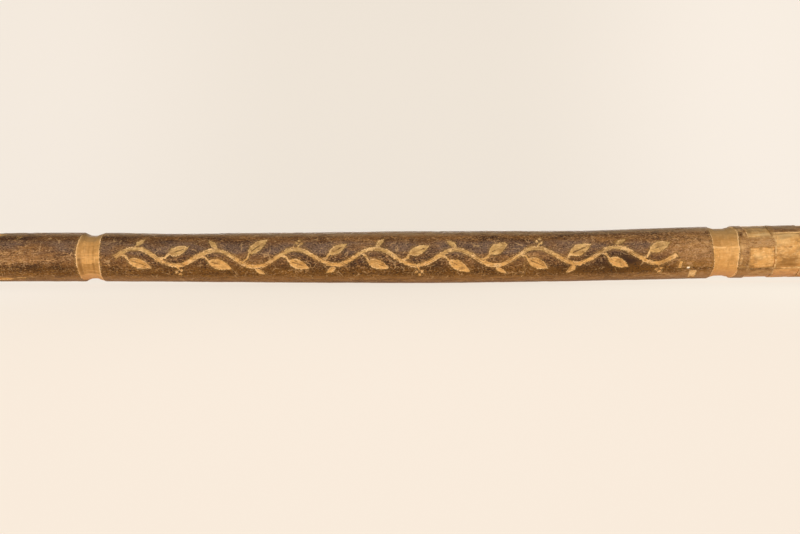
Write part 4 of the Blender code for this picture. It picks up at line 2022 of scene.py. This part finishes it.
def new_effect(
    name: str, inputs: dict[str, float | Colour], outputs: Sequence[str] = ("Mask",)
) -> tuple[Bench, dict[str, Value], Sequence[bpy.types.NodeSocket]]:
    """Starts a shared effect, which follows the straightened place.

    Args:
        name: The effect's name.
        inputs: Name and default of each other input, a number or a colour.
        outputs: Name of each output, which is a number unless it is called Color.

    Returns:
        Its bench, what its inputs give and what its outputs take.
    """
    tree = EFFECTS[name] = bpy.data.node_groups.new(name, "ShaderNodeTree")
    tree.interface.new_socket("Spot", in_out="INPUT", socket_type=VECTOR)
    for title, default in inputs.items():
        kind = COLOUR if isinstance(default, tuple) else FLOAT
        socket = tree.interface.new_socket(title, in_out="INPUT", socket_type=kind)
        socket.default_value = default
    for title in outputs:
        kind = COLOUR if title == "Color" else FLOAT
        tree.interface.new_socket(title, in_out="OUTPUT", socket_type=kind)
    bench = Bench(tree)
    taken, given = bench.add("NodeGroupInput", {}), bench.add("NodeGroupOutput", {})
    values = {output.name: Value(bench, output) for output in taken.outputs}
    bench.spot = values["Spot"]
    return bench, values, given.inputs


@dataclass(frozen=True)
class Effects:
    """The effects that several finishes share, each built once."""

    soil: Colour = linear(128, 88, 44)
    glint: Colour = linear(246, 202, 142)
    # lit serves real cream mottles and the tone's painted highlights; dim is the tone's painted
    # shade.
    lit: Colour = linear(246, 202, 138)
    dim: Colour = linear(140, 96, 44)
    # Painted shade, olive, for the upper side of cut wood, and painted bounce light for its
    # underside.
    painted_top_shading: Colour = linear(132, 112, 74)
    painted_bounce: Colour = linear(206, 150, 94)

    def build(self) -> None:
        """Builds them all."""
        for make in (self.streaks, self.scratches, self.rubbed, self.cut_wood):
            make()

    def streaks(self) -> None:
        """Noise drawn out along the stick, cut off between two levels."""
        bench, taken, given = new_effect("streaks", STREAK_INPUTS)
        place = bench.drawn_out(taken["Cell"], taken["Stretch"])
        moved = bench.vector("ADD", place, bench.triple(taken["Shift"]))
        noise = bench.noise(moved, taken["Detail"], 0.55)
        bench.join(noise.rise(taken["Low"], taken["High"]), given["Mask"])

    def scratches(self) -> None:
        """Thin curved scratches, here and there."""
        inputs = {"Cell": 6.0, "Width": 0.03, "Amount": 0.4}
        bench, taken, given = new_effect("scratches", inputs)
        place = bench.vector("DIVIDE", bench.spot, bench.triple(taken["Cell"]))
        feeds = {"Vector": place, "Scale": 1.3, "Detail": 1.0}
        swirl = bench.give("ShaderNodeTexNoise", feeds, "Color")
        moved = bench.vector("ADD", place, bench.vector("MULTIPLY", swirl, (0.9, 0.9, 0.9)))
        feeds = {"Vector": moved, "Scale": 1.0}
        cells = bench.give("ShaderNodeTexVoronoi", feeds, "Distance", feature="DISTANCE_TO_EDGE")
        where = bench.noise(bench.vector("MULTIPLY", place, (2.1, 2.1, 2.1)), 1.0)
        limit = taken["Amount"].rest()
        mask = cells.rise(taken["Width"], 0.0) * where.rise(limit, limit + 0.08)
        bench.join(mask, given["Mask"])

    def rubbed(self) -> None:
        """Where a surface is rubbed through, from how worn it is and a ragged noise."""
        inputs = {"Cell": 2.0, "Stretch": 1.6, "Worn": 0.2, "Soft": 0.1}
        bench, taken, given = new_effect("rubbed", inputs)
        ragged = bench.noise(bench.drawn_out(taken["Cell"], taken["Stretch"]), 4.0, 0.62)
        level = taken["Worn"].between(0.78, 0.28)
        bench.join(ragged.rise(level, level + taken["Soft"]), given["Mask"])

    def cut_wood(self) -> None:
        """Bare wood as the knife left it: rings, grain and dirt, with painted light and shade."""
        inputs = {"Inside": 1.0, "Dirt": 0.3, "Stain": 0.0, "Tone": 0.0, "Film": 1.0}
        inputs.update(Pale=RING_PALE, Deep=RING_DEEP)
        outputs = ("Color", "Height", "Roughness")
        bench, taken, given = new_effect("cut_wood", inputs, outputs)
        deep, dirt, film, tone = (taken[title] for title in ("Deep", "Dirt", "Film", "Tone"))
        _, across, upward = bench.spot.parts()
        squares = bench.math("POWER", across, 2.0) + bench.math("POWER", upward, 2.0)
        radius = bench.math("SQRT", squares) + bench.streak(4.0, 7.0, 2.0, 0.2, 0.8) * 2.6
        year = bench.math("SINE", radius * 5.2).between(0.5, 1.0)
        grain = year * 0.30 + bench.streak(0.42, 11.0, 3.0, 0.3, 0.72) * 0.70
        colour = bench.mix(grain, taken["Pale"], deep)
        layers = (
            (deep, 0.45, (3.4, 3.0, 3.0, 0.38, 0.66, 21.0)),
            (self.soil, 0.35, (0.30, 9.0, 2.0, 0.60, 0.72, 9.0)),
            (self.soil, 0.30, (4.0, 0.13, 3.0, 0.52, 0.70, 14.0)),
            (self.glint, 0.38, (3.0, 0.16, 3.0, 0.58, 0.74, 31.0)),
            (deep, 0.35, (7.0, 0.22, 2.0, 0.48, 0.66, 47.0)),
        )
        for over, share, streak in layers:
            colour = colour.under(over, bench.streak(*streak) * share)
        blotch = bench.streak(0.90, 1.8, 4.0, 0.46, 0.68, 71.0)
        colour = colour.under(self.lit, blotch * dirt * 0.62)
        cloud = bench.streak(2.6, 1.7, 4.0, 0.44, 0.66, 4.0)
        flecks = bench.streak(0.8, 1.6, 3.0, 0.40, 0.62, 2.0)
        # Dark flecks at the foot of each cut's wall: painted shade in the crease.
        crease_shade = taken["Inside"].rise(0.55, 0.0) * flecks * 0.70
        smudge = bench.math("MULTIPLY", cloud, dirt, True)
        colour = colour.under(self.soil, smudge | crease_shade | taken["Stain"])
        # The tone's lighter and darker sides: on ring floors and chamfers, the flats' painted
        # highlights and painted shade.
        colour = colour.under(self.lit, tone.rise(0.0, 1.0)).under(self.dim, tone.rise(0.0, -1.0))
        # Painted shade on the upper side and painted bounce light on the underside, as far as the
        # shading share lets.
        colour = colour.under(self.painted_top_shading, upward.rise(4.5, 11.0) * film * 0.50)
        colour = colour.under(self.painted_bounce, upward.rise(-7.5, -10.0) * film * 0.55)
        results = (colour, (grain * 0.6).rest(), grain.between(0.46, 0.60))
        for title, result in zip(outputs, results):
            bench.join(result, given[title])


def new_material(name: str) -> tuple[bpy.types.Material, Bench, bpy.types.Node]:
    """Starts a material.

    Args:
        name: Its name.

    Returns:
        The material, its bench and its Principled node.
    """
    made = bpy.data.materials.new(name)
    made.use_nodes = True
    return made, Bench(made.node_tree), made.node_tree.nodes["Principled BSDF"]


def new_finish(name: str) -> tuple[bpy.types.Material, Bench, bpy.types.Node]:
    """Starts the material of a piece, whose nodes can read the straightened place.

    Args:
        name: Its name.

    Returns:
        As new_material says.
    """
    made, bench, shader = new_material(name)
    bench.spot = bench.value("spot", "Vector")
    return made, bench, shader


@dataclass(frozen=True)
class BarkFinish:
    """Old, oiled bark with bare cuts: dark and rough in places, elsewhere rubbed to a tan."""

    tones: tuple[tuple[float, Colour], ...] = (
        (0.00, linear(52, 26, 5)),
        (0.35, linear(100, 62, 28)),
        (0.70, linear(153, 108, 60)),
        (1.00, linear(190, 143, 87)),
    )
    crumb: Colour = linear(186, 144, 98)
    speck: Colour = linear(44, 26, 9)
    scratch: Colour = linear(198, 156, 104)
    lip: Colour = linear(178, 125, 64)
    bright_lip: Colour = linear(238, 192, 128)
    warm: Colour = linear(160, 108, 52)
    painted_sheen_mauve: Colour = linear(110, 86, 70)
    low_shade_olive: Colour = linear(116, 76, 22)
    # The next two colours are a painted highlight for the top edge and painted bounce light for the
    # underside.
    painted_top_shading: Colour = linear(156, 126, 88)
    painted_bounce: Colour = linear(166, 120, 68)
    low_shade_tint: Colour = (1.0, 0.95, 0.64, 1.0)
    white: Colour = linear(252, 238, 214)
    stained: Colour = linear(156, 116, 58)
    cream: Colour = linear(246, 200, 140)
    # The high colours are a painted-shade copy of the low ones, for cuts above the middle line.
    shaded_high_pale: Colour = linear(212, 170, 108)
    shaded_high_deep: Colour = linear(168, 130, 74)
    low_pale: Colour = linear(228, 174, 100)
    low_deep: Colour = linear(198, 142, 74)

    def ramp(self, bench: Bench, level: Value) -> Value:
        """Adds the colour ramp of the bark's tones.

        Args:
            bench: The material's bench.
            level: What it runs along.

        Returns:
            The colour.
        """
        colour = bench.give("ShaderNodeValToRGB", {0: level}, "Color")
        marks = colour.socket.node.color_ramp.elements
        while len(marks) < len(self.tones):
            marks.new(0.5)
        for mark, (place, tone) in zip(marks, self.tones):
            mark.position, mark.color = place, tone
        return colour

    def skin_colour(self, bench: Bench, height: Value) -> tuple[Value, Value]:
        """Colour of whole bark, with painted sheen, shade and bounce light by height.

        Args:
            bench: The material's bench.
            height: Height over the stick's middle line.

        Returns:
            The colour, and the tone with its fine mottle.
        """
        streak, tone = bench.streak, bench.value("tone")
        drawn = streak(0.42, 2.6, 3.0, 0.30, 0.70, 44.0)
        even = streak(0.42, 1.2, 3.0, 0.30, 0.70, 49.0)
        grit = drawn + (even - drawn) * tone.rise(0.50, 0.75)
        calm = streak(3.0, 5.0, 2.0, 0.42, 0.58, 53.0)
        strength = tone.between(1.50, 0.36)
        shift = (streak(1.3, 3.0, 5.0, 0.30, 0.70) - 0.5) * 0.54 + (grit - 0.5) * 0.80
        level = bench.math("ADD", tone, shift * calm.between(1.0, 0.5) * strength, clamp=True)
        colour = self.ramp(bench, level)
        colour = colour.under(self.warm, streak(7.0, 3.0, 2.0, 0.42, 0.62, 41.0) * 0.32)
        # A mauve-grey band a little above the middle line, broken into patches: painted sheen.
        film = streak(5.0, 2.6, 3.0, 0.36, 0.60, 8.0).between(0.25, 0.80)
        sheen_belt = height.rise(0.2, 2.8) * height.rise(8.8, 6.0)
        colour = colour.under(self.painted_sheen_mauve, sheen_belt * film * tone.rise(0.50, 0.32))
        fibres = streak(0.36, 9.0, 3.0, 0.48, 0.72, 3.0)
        colour = colour.under(self.tones[0][1], fibres * 0.45)
        # Below the middle line the bark goes darker olive and warmer: painted shade.
        lower = height.rise(-2.0, -7.5)
        colour = colour.under(self.low_shade_olive, lower * 0.50).under(self.low_shade_tint, lower, "MULTIPLY")
        crumbs = streak(0.48, 1.8, 3.0, 0.52, 0.66, 5.0) * calm.between(0.66, 0.36)
        colour = colour.under(self.crumb, crumbs * tone.rise(-0.5, 0.0))
        specks = streak(0.50, 1.7, 2.0, 0.54, 0.68, 6.0) * level.between(0.90, 0.20)
        colour = colour.under(self.speck, specks * strength)
        # Along the very top a pale band is painted highlight; along the underside a pale band is
        # painted bounce light.
        wide = streak(0.9, 6.0, 3.0, 0.30, 0.60, 12.0)
        colour = colour.under(self.painted_top_shading, height.rise(9.4, 11.2) * wide * 0.85)
        return colour.under(self.painted_bounce, height.rise(-7.8, -10.4) * wide * 0.75), level

    def cut_colour(self, bench: Bench, height: Value, edge: Value) -> tuple[Value, Value]:
        """Colour in the cuts.

        Args:
            bench: The material's bench.
            height: Height over the stick's middle line.
            edge: How far inside the ragged edge each place is.

        Returns:
            The colour, and the height of the bare wood's grain.
        """
        streak, middle, rim = bench.streak, bench.value("middle"), bench.value("rim")
        # Cuts above the middle line take duller, darker colours: painted shade on the upper side.
        level, ring, tone = height.rise(-4.0, 5.0), rim.rise(-0.1, 0.1), bench.value("cut_tone")
        wood = bench.effect(
            "cut_wood",
            inside=bench.value("inside"),
            dirt=ring.between(0.45, 0.25),
            stain=bench.value("stain"),
            tone=tone,
            film=ring,
            pale=bench.mix(ring, bench.mix(level, self.low_pale, self.shaded_high_pale), RING_PALE),
            deep=bench.mix(ring, bench.mix(level, self.low_deep, self.shaded_high_deep), RING_DEEP),
        )
        colour = wood["Color"].under(self.white, tone.rise(1.1, 1.7))
        hair = streak(2.6, 2.0, 2.0, 0.46, 0.56, 7.0)
        hairline = middle.off(0.48).rise(0.17, 0.05) * hair * 0.75
        slit = streak(3.0, 2.0, 2.0, 0.42, 0.56, 17.0).between(0.25, 0.85)
        rib = middle.off(LeafCut.rib_mark).rise(0.36, 0.12) * slit
        colour = colour.under(self.tones[0][1], hairline | rib)
        left = streak(1.1, 1.5, 4.0, 0.55, 0.66, 15.0)
        colour = colour.under(self.tones[1][1], left * ring.between(0.50, 0.0))
        lit = edge.rise(0.06, 0.20) * edge.rise(0.62, 0.30)
        patchy = streak(2.0, 2.0, 3.0, 0.42, 0.60, 27.0)
        colour = colour.under(self.cream, lit * patchy * ring.between(0.60, 0.25))
        line = rim.rise(-0.20, 0.10) * rim.rise(1.35, 0.75)
        steady = streak(3.0, 1.0, 3.0, 0.36, 0.62, 37.0)
        return colour.under(self.cream, line * steady * 0.75), wood["Height"]

    def material(self) -> bpy.types.Material:
        """Builds the material.

        Returns:
            The material.
        """
        made, bench, shader = new_finish("bark_oiled")
        height = bench.spot.parts()[2]
        colour, level = self.skin_colour(bench, height)
        worn = bench.mask("rubbed", cell=0.9, stretch=2.2, worn=bench.value("wear"), soft=0.10)
        lines = bench.mask("scratches", cell=6.5, width=0.045, amount=0.46)
        colour = colour.under(self.crumb, worn * 0.50).under(self.scratch, lines * 0.55)
        colour = colour.under(self.speck, bench.value("knot"))
        ragged = bench.streak(0.50, 1.6, 4.0, 0.2, 0.8)
        edge = bench.value("inside") + ragged.between(-0.42, 0.42)
        cut = edge.rise(-0.02, 0.16)
        whole = cut.rest()
        colour = colour.under(self.stained, edge.rise(-1.10, -0.30) * level.between(0.15, 0.50))
        # A dark line on the bark just outside each cut: painted shade at the cut's edge.
        colour = colour.under(self.speck, edge.rise(-0.34, -0.06) * whole * 0.40)
        # The lip colour is partly the cut bark's own colour and partly a painted highlight on the
        # window's edge.
        lip = bench.mix(bench.streak(1.6, 2.0, 3.0, 0.36, 0.60, 61.0), self.lip, self.bright_lip)
        colour = colour.under(lip, bench.value("lip") * 0.92)
        bare, grain = self.cut_colour(bench, height, edge)
        rough = cut.between(level.between(0.54, 0.42), 0.62)
        fine = bench.streak(0.70, 1.8, 4.0, 0.25, 0.75, 1.0)
        relief = fine * whole * level.between(1.0, 0.45) + grain * cut * 0.4
        shader.inputs["Specular IOR Level"].default_value = WOOD_GLOSS
        bench.surface(shader, colour.under(bare, cut), rough, relief, 0.00020)
        return made


@dataclass(frozen=True)
class WoodFinish:
    """The bare wood of the rings, the windows and the nose."""

    crack: Colour = linear(58, 36, 18)
    nose_mm: tuple[float, float] = (1020.0, 1022.0)

    def material(self) -> bpy.types.Material:
        """Builds the material.

        Returns:
            The material.
        """
        made, bench, shader = new_finish("wood_bare")
        reads = {"inside": "inside", "dirt": "wear", "tone": "tone"}
        wood = bench.effect("cut_wood", **{key: bench.value(one) for key, one in reads.items()})
        nose = bench.spot.parts()[0].rise(*self.nose_mm)
        colour = wood["Color"].under(self.crack, bench.value("depth").rise(1.25, 1.7) * nose)
        shader.inputs["Specular IOR Level"].default_value = WOOD_GLOSS
        bench.surface(shader, colour, wood["Roughness"], wood["Height"], 0.00008)
        return made


@dataclass(frozen=True)
class MetalFinish:
    """Old metal: dull where it is left alone, brighter where it is rubbed, with soil on it."""

    name: str
    dull: Colour
    bright: Colour
    soil: Colour
    soiled: float

    def material(self) -> bpy.types.Material:
        """Builds the material.

        Returns:
            The material.
        """
        made, bench, shader = new_finish(self.name)
        clouds = bench.streak(3.0, 1.2, 4.0, 0.35, 0.68)
        worn = bench.mask("rubbed", cell=1.2, stretch=1.0, worn=bench.value("rub"), soft=0.12)
        lines = bench.mask("scratches", cell=2.6, width=0.03, amount=0.52)
        colour = bench.mix(clouds * 0.5, self.dull, self.bright)
        colour = colour.under(self.bright, worn).under(self.bright, lines * 0.5)
        spots = bench.streak(1.6, 1.0, 4.0, 0.52, 0.66, 3.0) * worn.rest() * self.soiled
        bench.join(spots.between(1.0, 0.35), shader.inputs["Metallic"])
        rough = worn.between(0.48, 0.30) + spots * 0.3
        bench.surface(shader, colour.under(self.soil, spots), rough, lines * -1.0 + spots, 0.00004)
        return made


@dataclass(frozen=True)
class Lamp:
    """A soft rectangular lamp that faces the cane and isn't seen."""

    name: str
    place: tuple[float, float, float]
    power: float
    colour: tuple[float, float, float]
    cone: float
    size: tuple[float, float] = (1.8, 0.5)

    def build(self) -> None:
        """Puts the lamp in the scene, level with the ground and turned to the cane."""
        lamp = bpy.data.lights.new(self.name, "AREA")
        lamp.shape = "RECTANGLE"
        lamp.size, lamp.size_y = self.size
        lamp.energy = self.power
        lamp.color = self.colour
        lamp.spread = math.radians(self.cone)
        made = bpy.data.objects.new(self.name, lamp)
        made.location = self.place
        tilt = math.atan2(self.place[2], abs(self.place[1]))
        made.rotation_euler = (math.pi / 2 - tilt, 0.0, 0.0 if self.place[1] < 0 else math.pi)
        made.visible_camera = False
        bpy.context.scene.collection.objects.link(made)


@dataclass(frozen=True)
class Studio:
    """The plain pale stage, the soft light and the camera."""

    wall_colour: Colour = linear(240, 230, 217)
    left_colour: Colour = linear(247, 237, 225)
    right_colour: Colour = linear(251, 241, 229)
    floor_colour: Colour = linear(244, 232, 217)
    front_colour: Colour = linear(251, 237, 221)
    floor_left: Colour = linear(250, 239, 226)
    floor_right: Colour = linear(252, 241, 226)
    sky_colour: Colour = (0.98, 1.0, 1.02, 1.0)
    sky_strength: float = 0.36
    shadow_share: float = 0.20
    bounce_share: float = 0.30
    glow_strength: float = 1.08
    lamps: tuple[Lamp, ...] = (
        Lamp("key_lamp", (0.0, -2.2, 0.30), 5.0, (1.0, 0.98, 0.94), 50.0),
        Lamp("fill_lamp", (0.0, 1.6, 0.45), 2.0, (1.0, 0.98, 0.95), 60.0),
    )
    camera_place: tuple[float, float, float] = (0.0, -0.440, 0.0150)
    lens: float = 45.5
    pitch: float = math.radians(0.87)
    roll: float = math.radians(0.33)
    floor_level: float = -0.0003
    floor_front: float = -4.0
    floor_back: float = 1.9
    sweep: float = 0.6
    wall_height: float = 2.6
    half_width: float = 4.5

    def build(self) -> None:
        """Sets up everything that isn't the cane."""
        self.build_stage()
        self.build_light()
        self.build_camera()
        bpy.context.scene.view_settings.view_transform = "Standard"

    def build_stage(self) -> None:
        """A floor that runs back and sweeps up into a wall, well behind the cane."""
        back, sweep = self.floor_back, self.sweep
        line = [(along, 0.0) for along in (self.floor_front, 0.0, 0.6, 1.2, back)]
        for turn in (math.pi / 2 * index / 12 for index in range(1, 13)):
            line.append((back + sweep * math.sin(turn), sweep * (1.0 - math.cos(turn))))
        line.append((back + sweep, self.wall_height))
        points, faces = [], []
        for across in (-self.half_width, 0.0, self.half_width):
            points += [(across, along, self.floor_level + up) for along, up in line]
        count = len(line)
        for first in range(2 * count):
            if first % count < count - 1:
                faces.append((first, first + count, first + count + 1, first + 1))
        data = bpy.data.meshes.new("studio_sweep")
        data.from_pydata(points, [], faces)
        data.shade_smooth()
        stage = bpy.data.objects.new("studio_sweep", data)
        bpy.context.scene.collection.objects.link(stage)
        data.materials.append(self.stage_material())

    def stage_material(self) -> bpy.types.Material:
        """Pale paper that shows its own colour to the camera, under a share of real shadow.

        Returns:
            The material.
        """
        made, bench, shader = new_material("studio_paper")
        side, back, _ = bench.give("ShaderNodeTexCoord", {}, "Object").parts()
        floor = bench.mix(side.rise(-0.04, -0.20), self.floor_colour, self.floor_left)
        floor = floor.under(self.floor_right, side.rise(0.0, 0.16))
        near = bench.mix(back.rise(-0.36, -0.08), self.front_colour, floor)
        wall = bench.mix(side.rise(-0.25, -1.05), self.wall_colour, self.left_colour)
        wall = wall.under(self.right_colour, side.rise(0.25, 1.05))
        colour = near.under(wall, back.rise(-0.08, 0.30))
        bench.join(colour, shader.inputs["Base Color"])
        shader.inputs["Roughness"].default_value = 0.9
        shader.inputs["Specular IOR Level"].default_value = 0.1
        feeds = {"Color": colour, "Strength": self.glow_strength}
        glow, paper = bench.give("ShaderNodeEmission", feeds), Value(bench, shader.outputs[0])
        rays = bench.add("ShaderNodeLightPath", {}).outputs
        seen = Value(bench, rays["Is Camera Ray"]) | Value(bench, rays["Is Glossy Ray"])
        share = seen * (1.0 - self.shadow_share) | self.bounce_share
        shown = bench.give("ShaderNodeMixShader", {0: share, 1: paper, 2: glow})
        bench.join(shown, made.node_tree.nodes["Material Output"].inputs["Surface"])
        return made

    def build_light(self) -> None:
        """A dim cool sky, a wide soft lamp from the front and a weaker one from behind."""
        world = bpy.data.worlds.new("studio_world")
        bpy.context.scene.world = world
        world.use_nodes = True
        bench = Bench(world.node_tree)
        inputs = world.node_tree.nodes["Background"].inputs
        seen = bench.give("ShaderNodeLightPath", {}, "Is Camera Ray")
        bench.join(bench.mix(seen, self.sky_colour, self.wall_colour), inputs["Color"])
        bench.join(seen.between(self.sky_strength, 1.0), inputs["Strength"])
        for lamp in self.lamps:
            lamp.build()

    def build_camera(self) -> None:
        """The camera, level with the cane and just above it."""
        data = bpy.data.cameras.new("camera")
        data.lens = self.lens
        data.sensor_width = 36.0
        data.clip_start = 0.01
        camera = bpy.data.objects.new("camera", data)
        camera.location = self.camera_place
        camera.rotation_euler = (math.pi / 2 - self.pitch, self.roll, 0.0)
        bpy.context.scene.collection.objects.link(camera)
        bpy.context.scene.camera = camera


STEEL = MetalFinish(
    "steel_worn", linear(112, 106, 98), linear(196, 190, 180), linear(96, 66, 42), 0.8
)
BRASS = MetalFinish(
    "brass_worn", linear(140, 108, 58), linear(222, 184, 112), linear(78, 60, 38), 0.5
)


def main() -> None:
    """Builds the cane from the wood outwards."""
    logging.basicConfig(level=logging.INFO, format="%(name)s: %(message)s")
    Studio().build()
    Effects().build()
    finishes = {
        Slot.BARK: BarkFinish().material(),
        Slot.WOOD: WoodFinish().material(),
        Slot.STEEL: STEEL.material(),
        Slot.BRASS: BRASS.material(),
    }
    parts: tuple[Piece, ...] = (
        WoodCore(),
        TIP_BARK,
        LEAF_BAND,
        CARVED_PANEL,
        ChequerBand(),
        CROOK_BARK,
        Cup(),
        Stud(),
        Pin("pin_front", "ferrule_pin_front"),
        Pin("pin_back", "ferrule_pin_back", angle=math.pi),
    )
    for part in parts:
        piece = part.mesh()
        part.dress(piece, finishes[part.slot])
        faces = sum(len(polygon.vertices) - 2 for polygon in piece.data.polygons)
        LOG.info("%s: %d triangles", piece.name, faces)


if __name__ == "__main__":
    main()
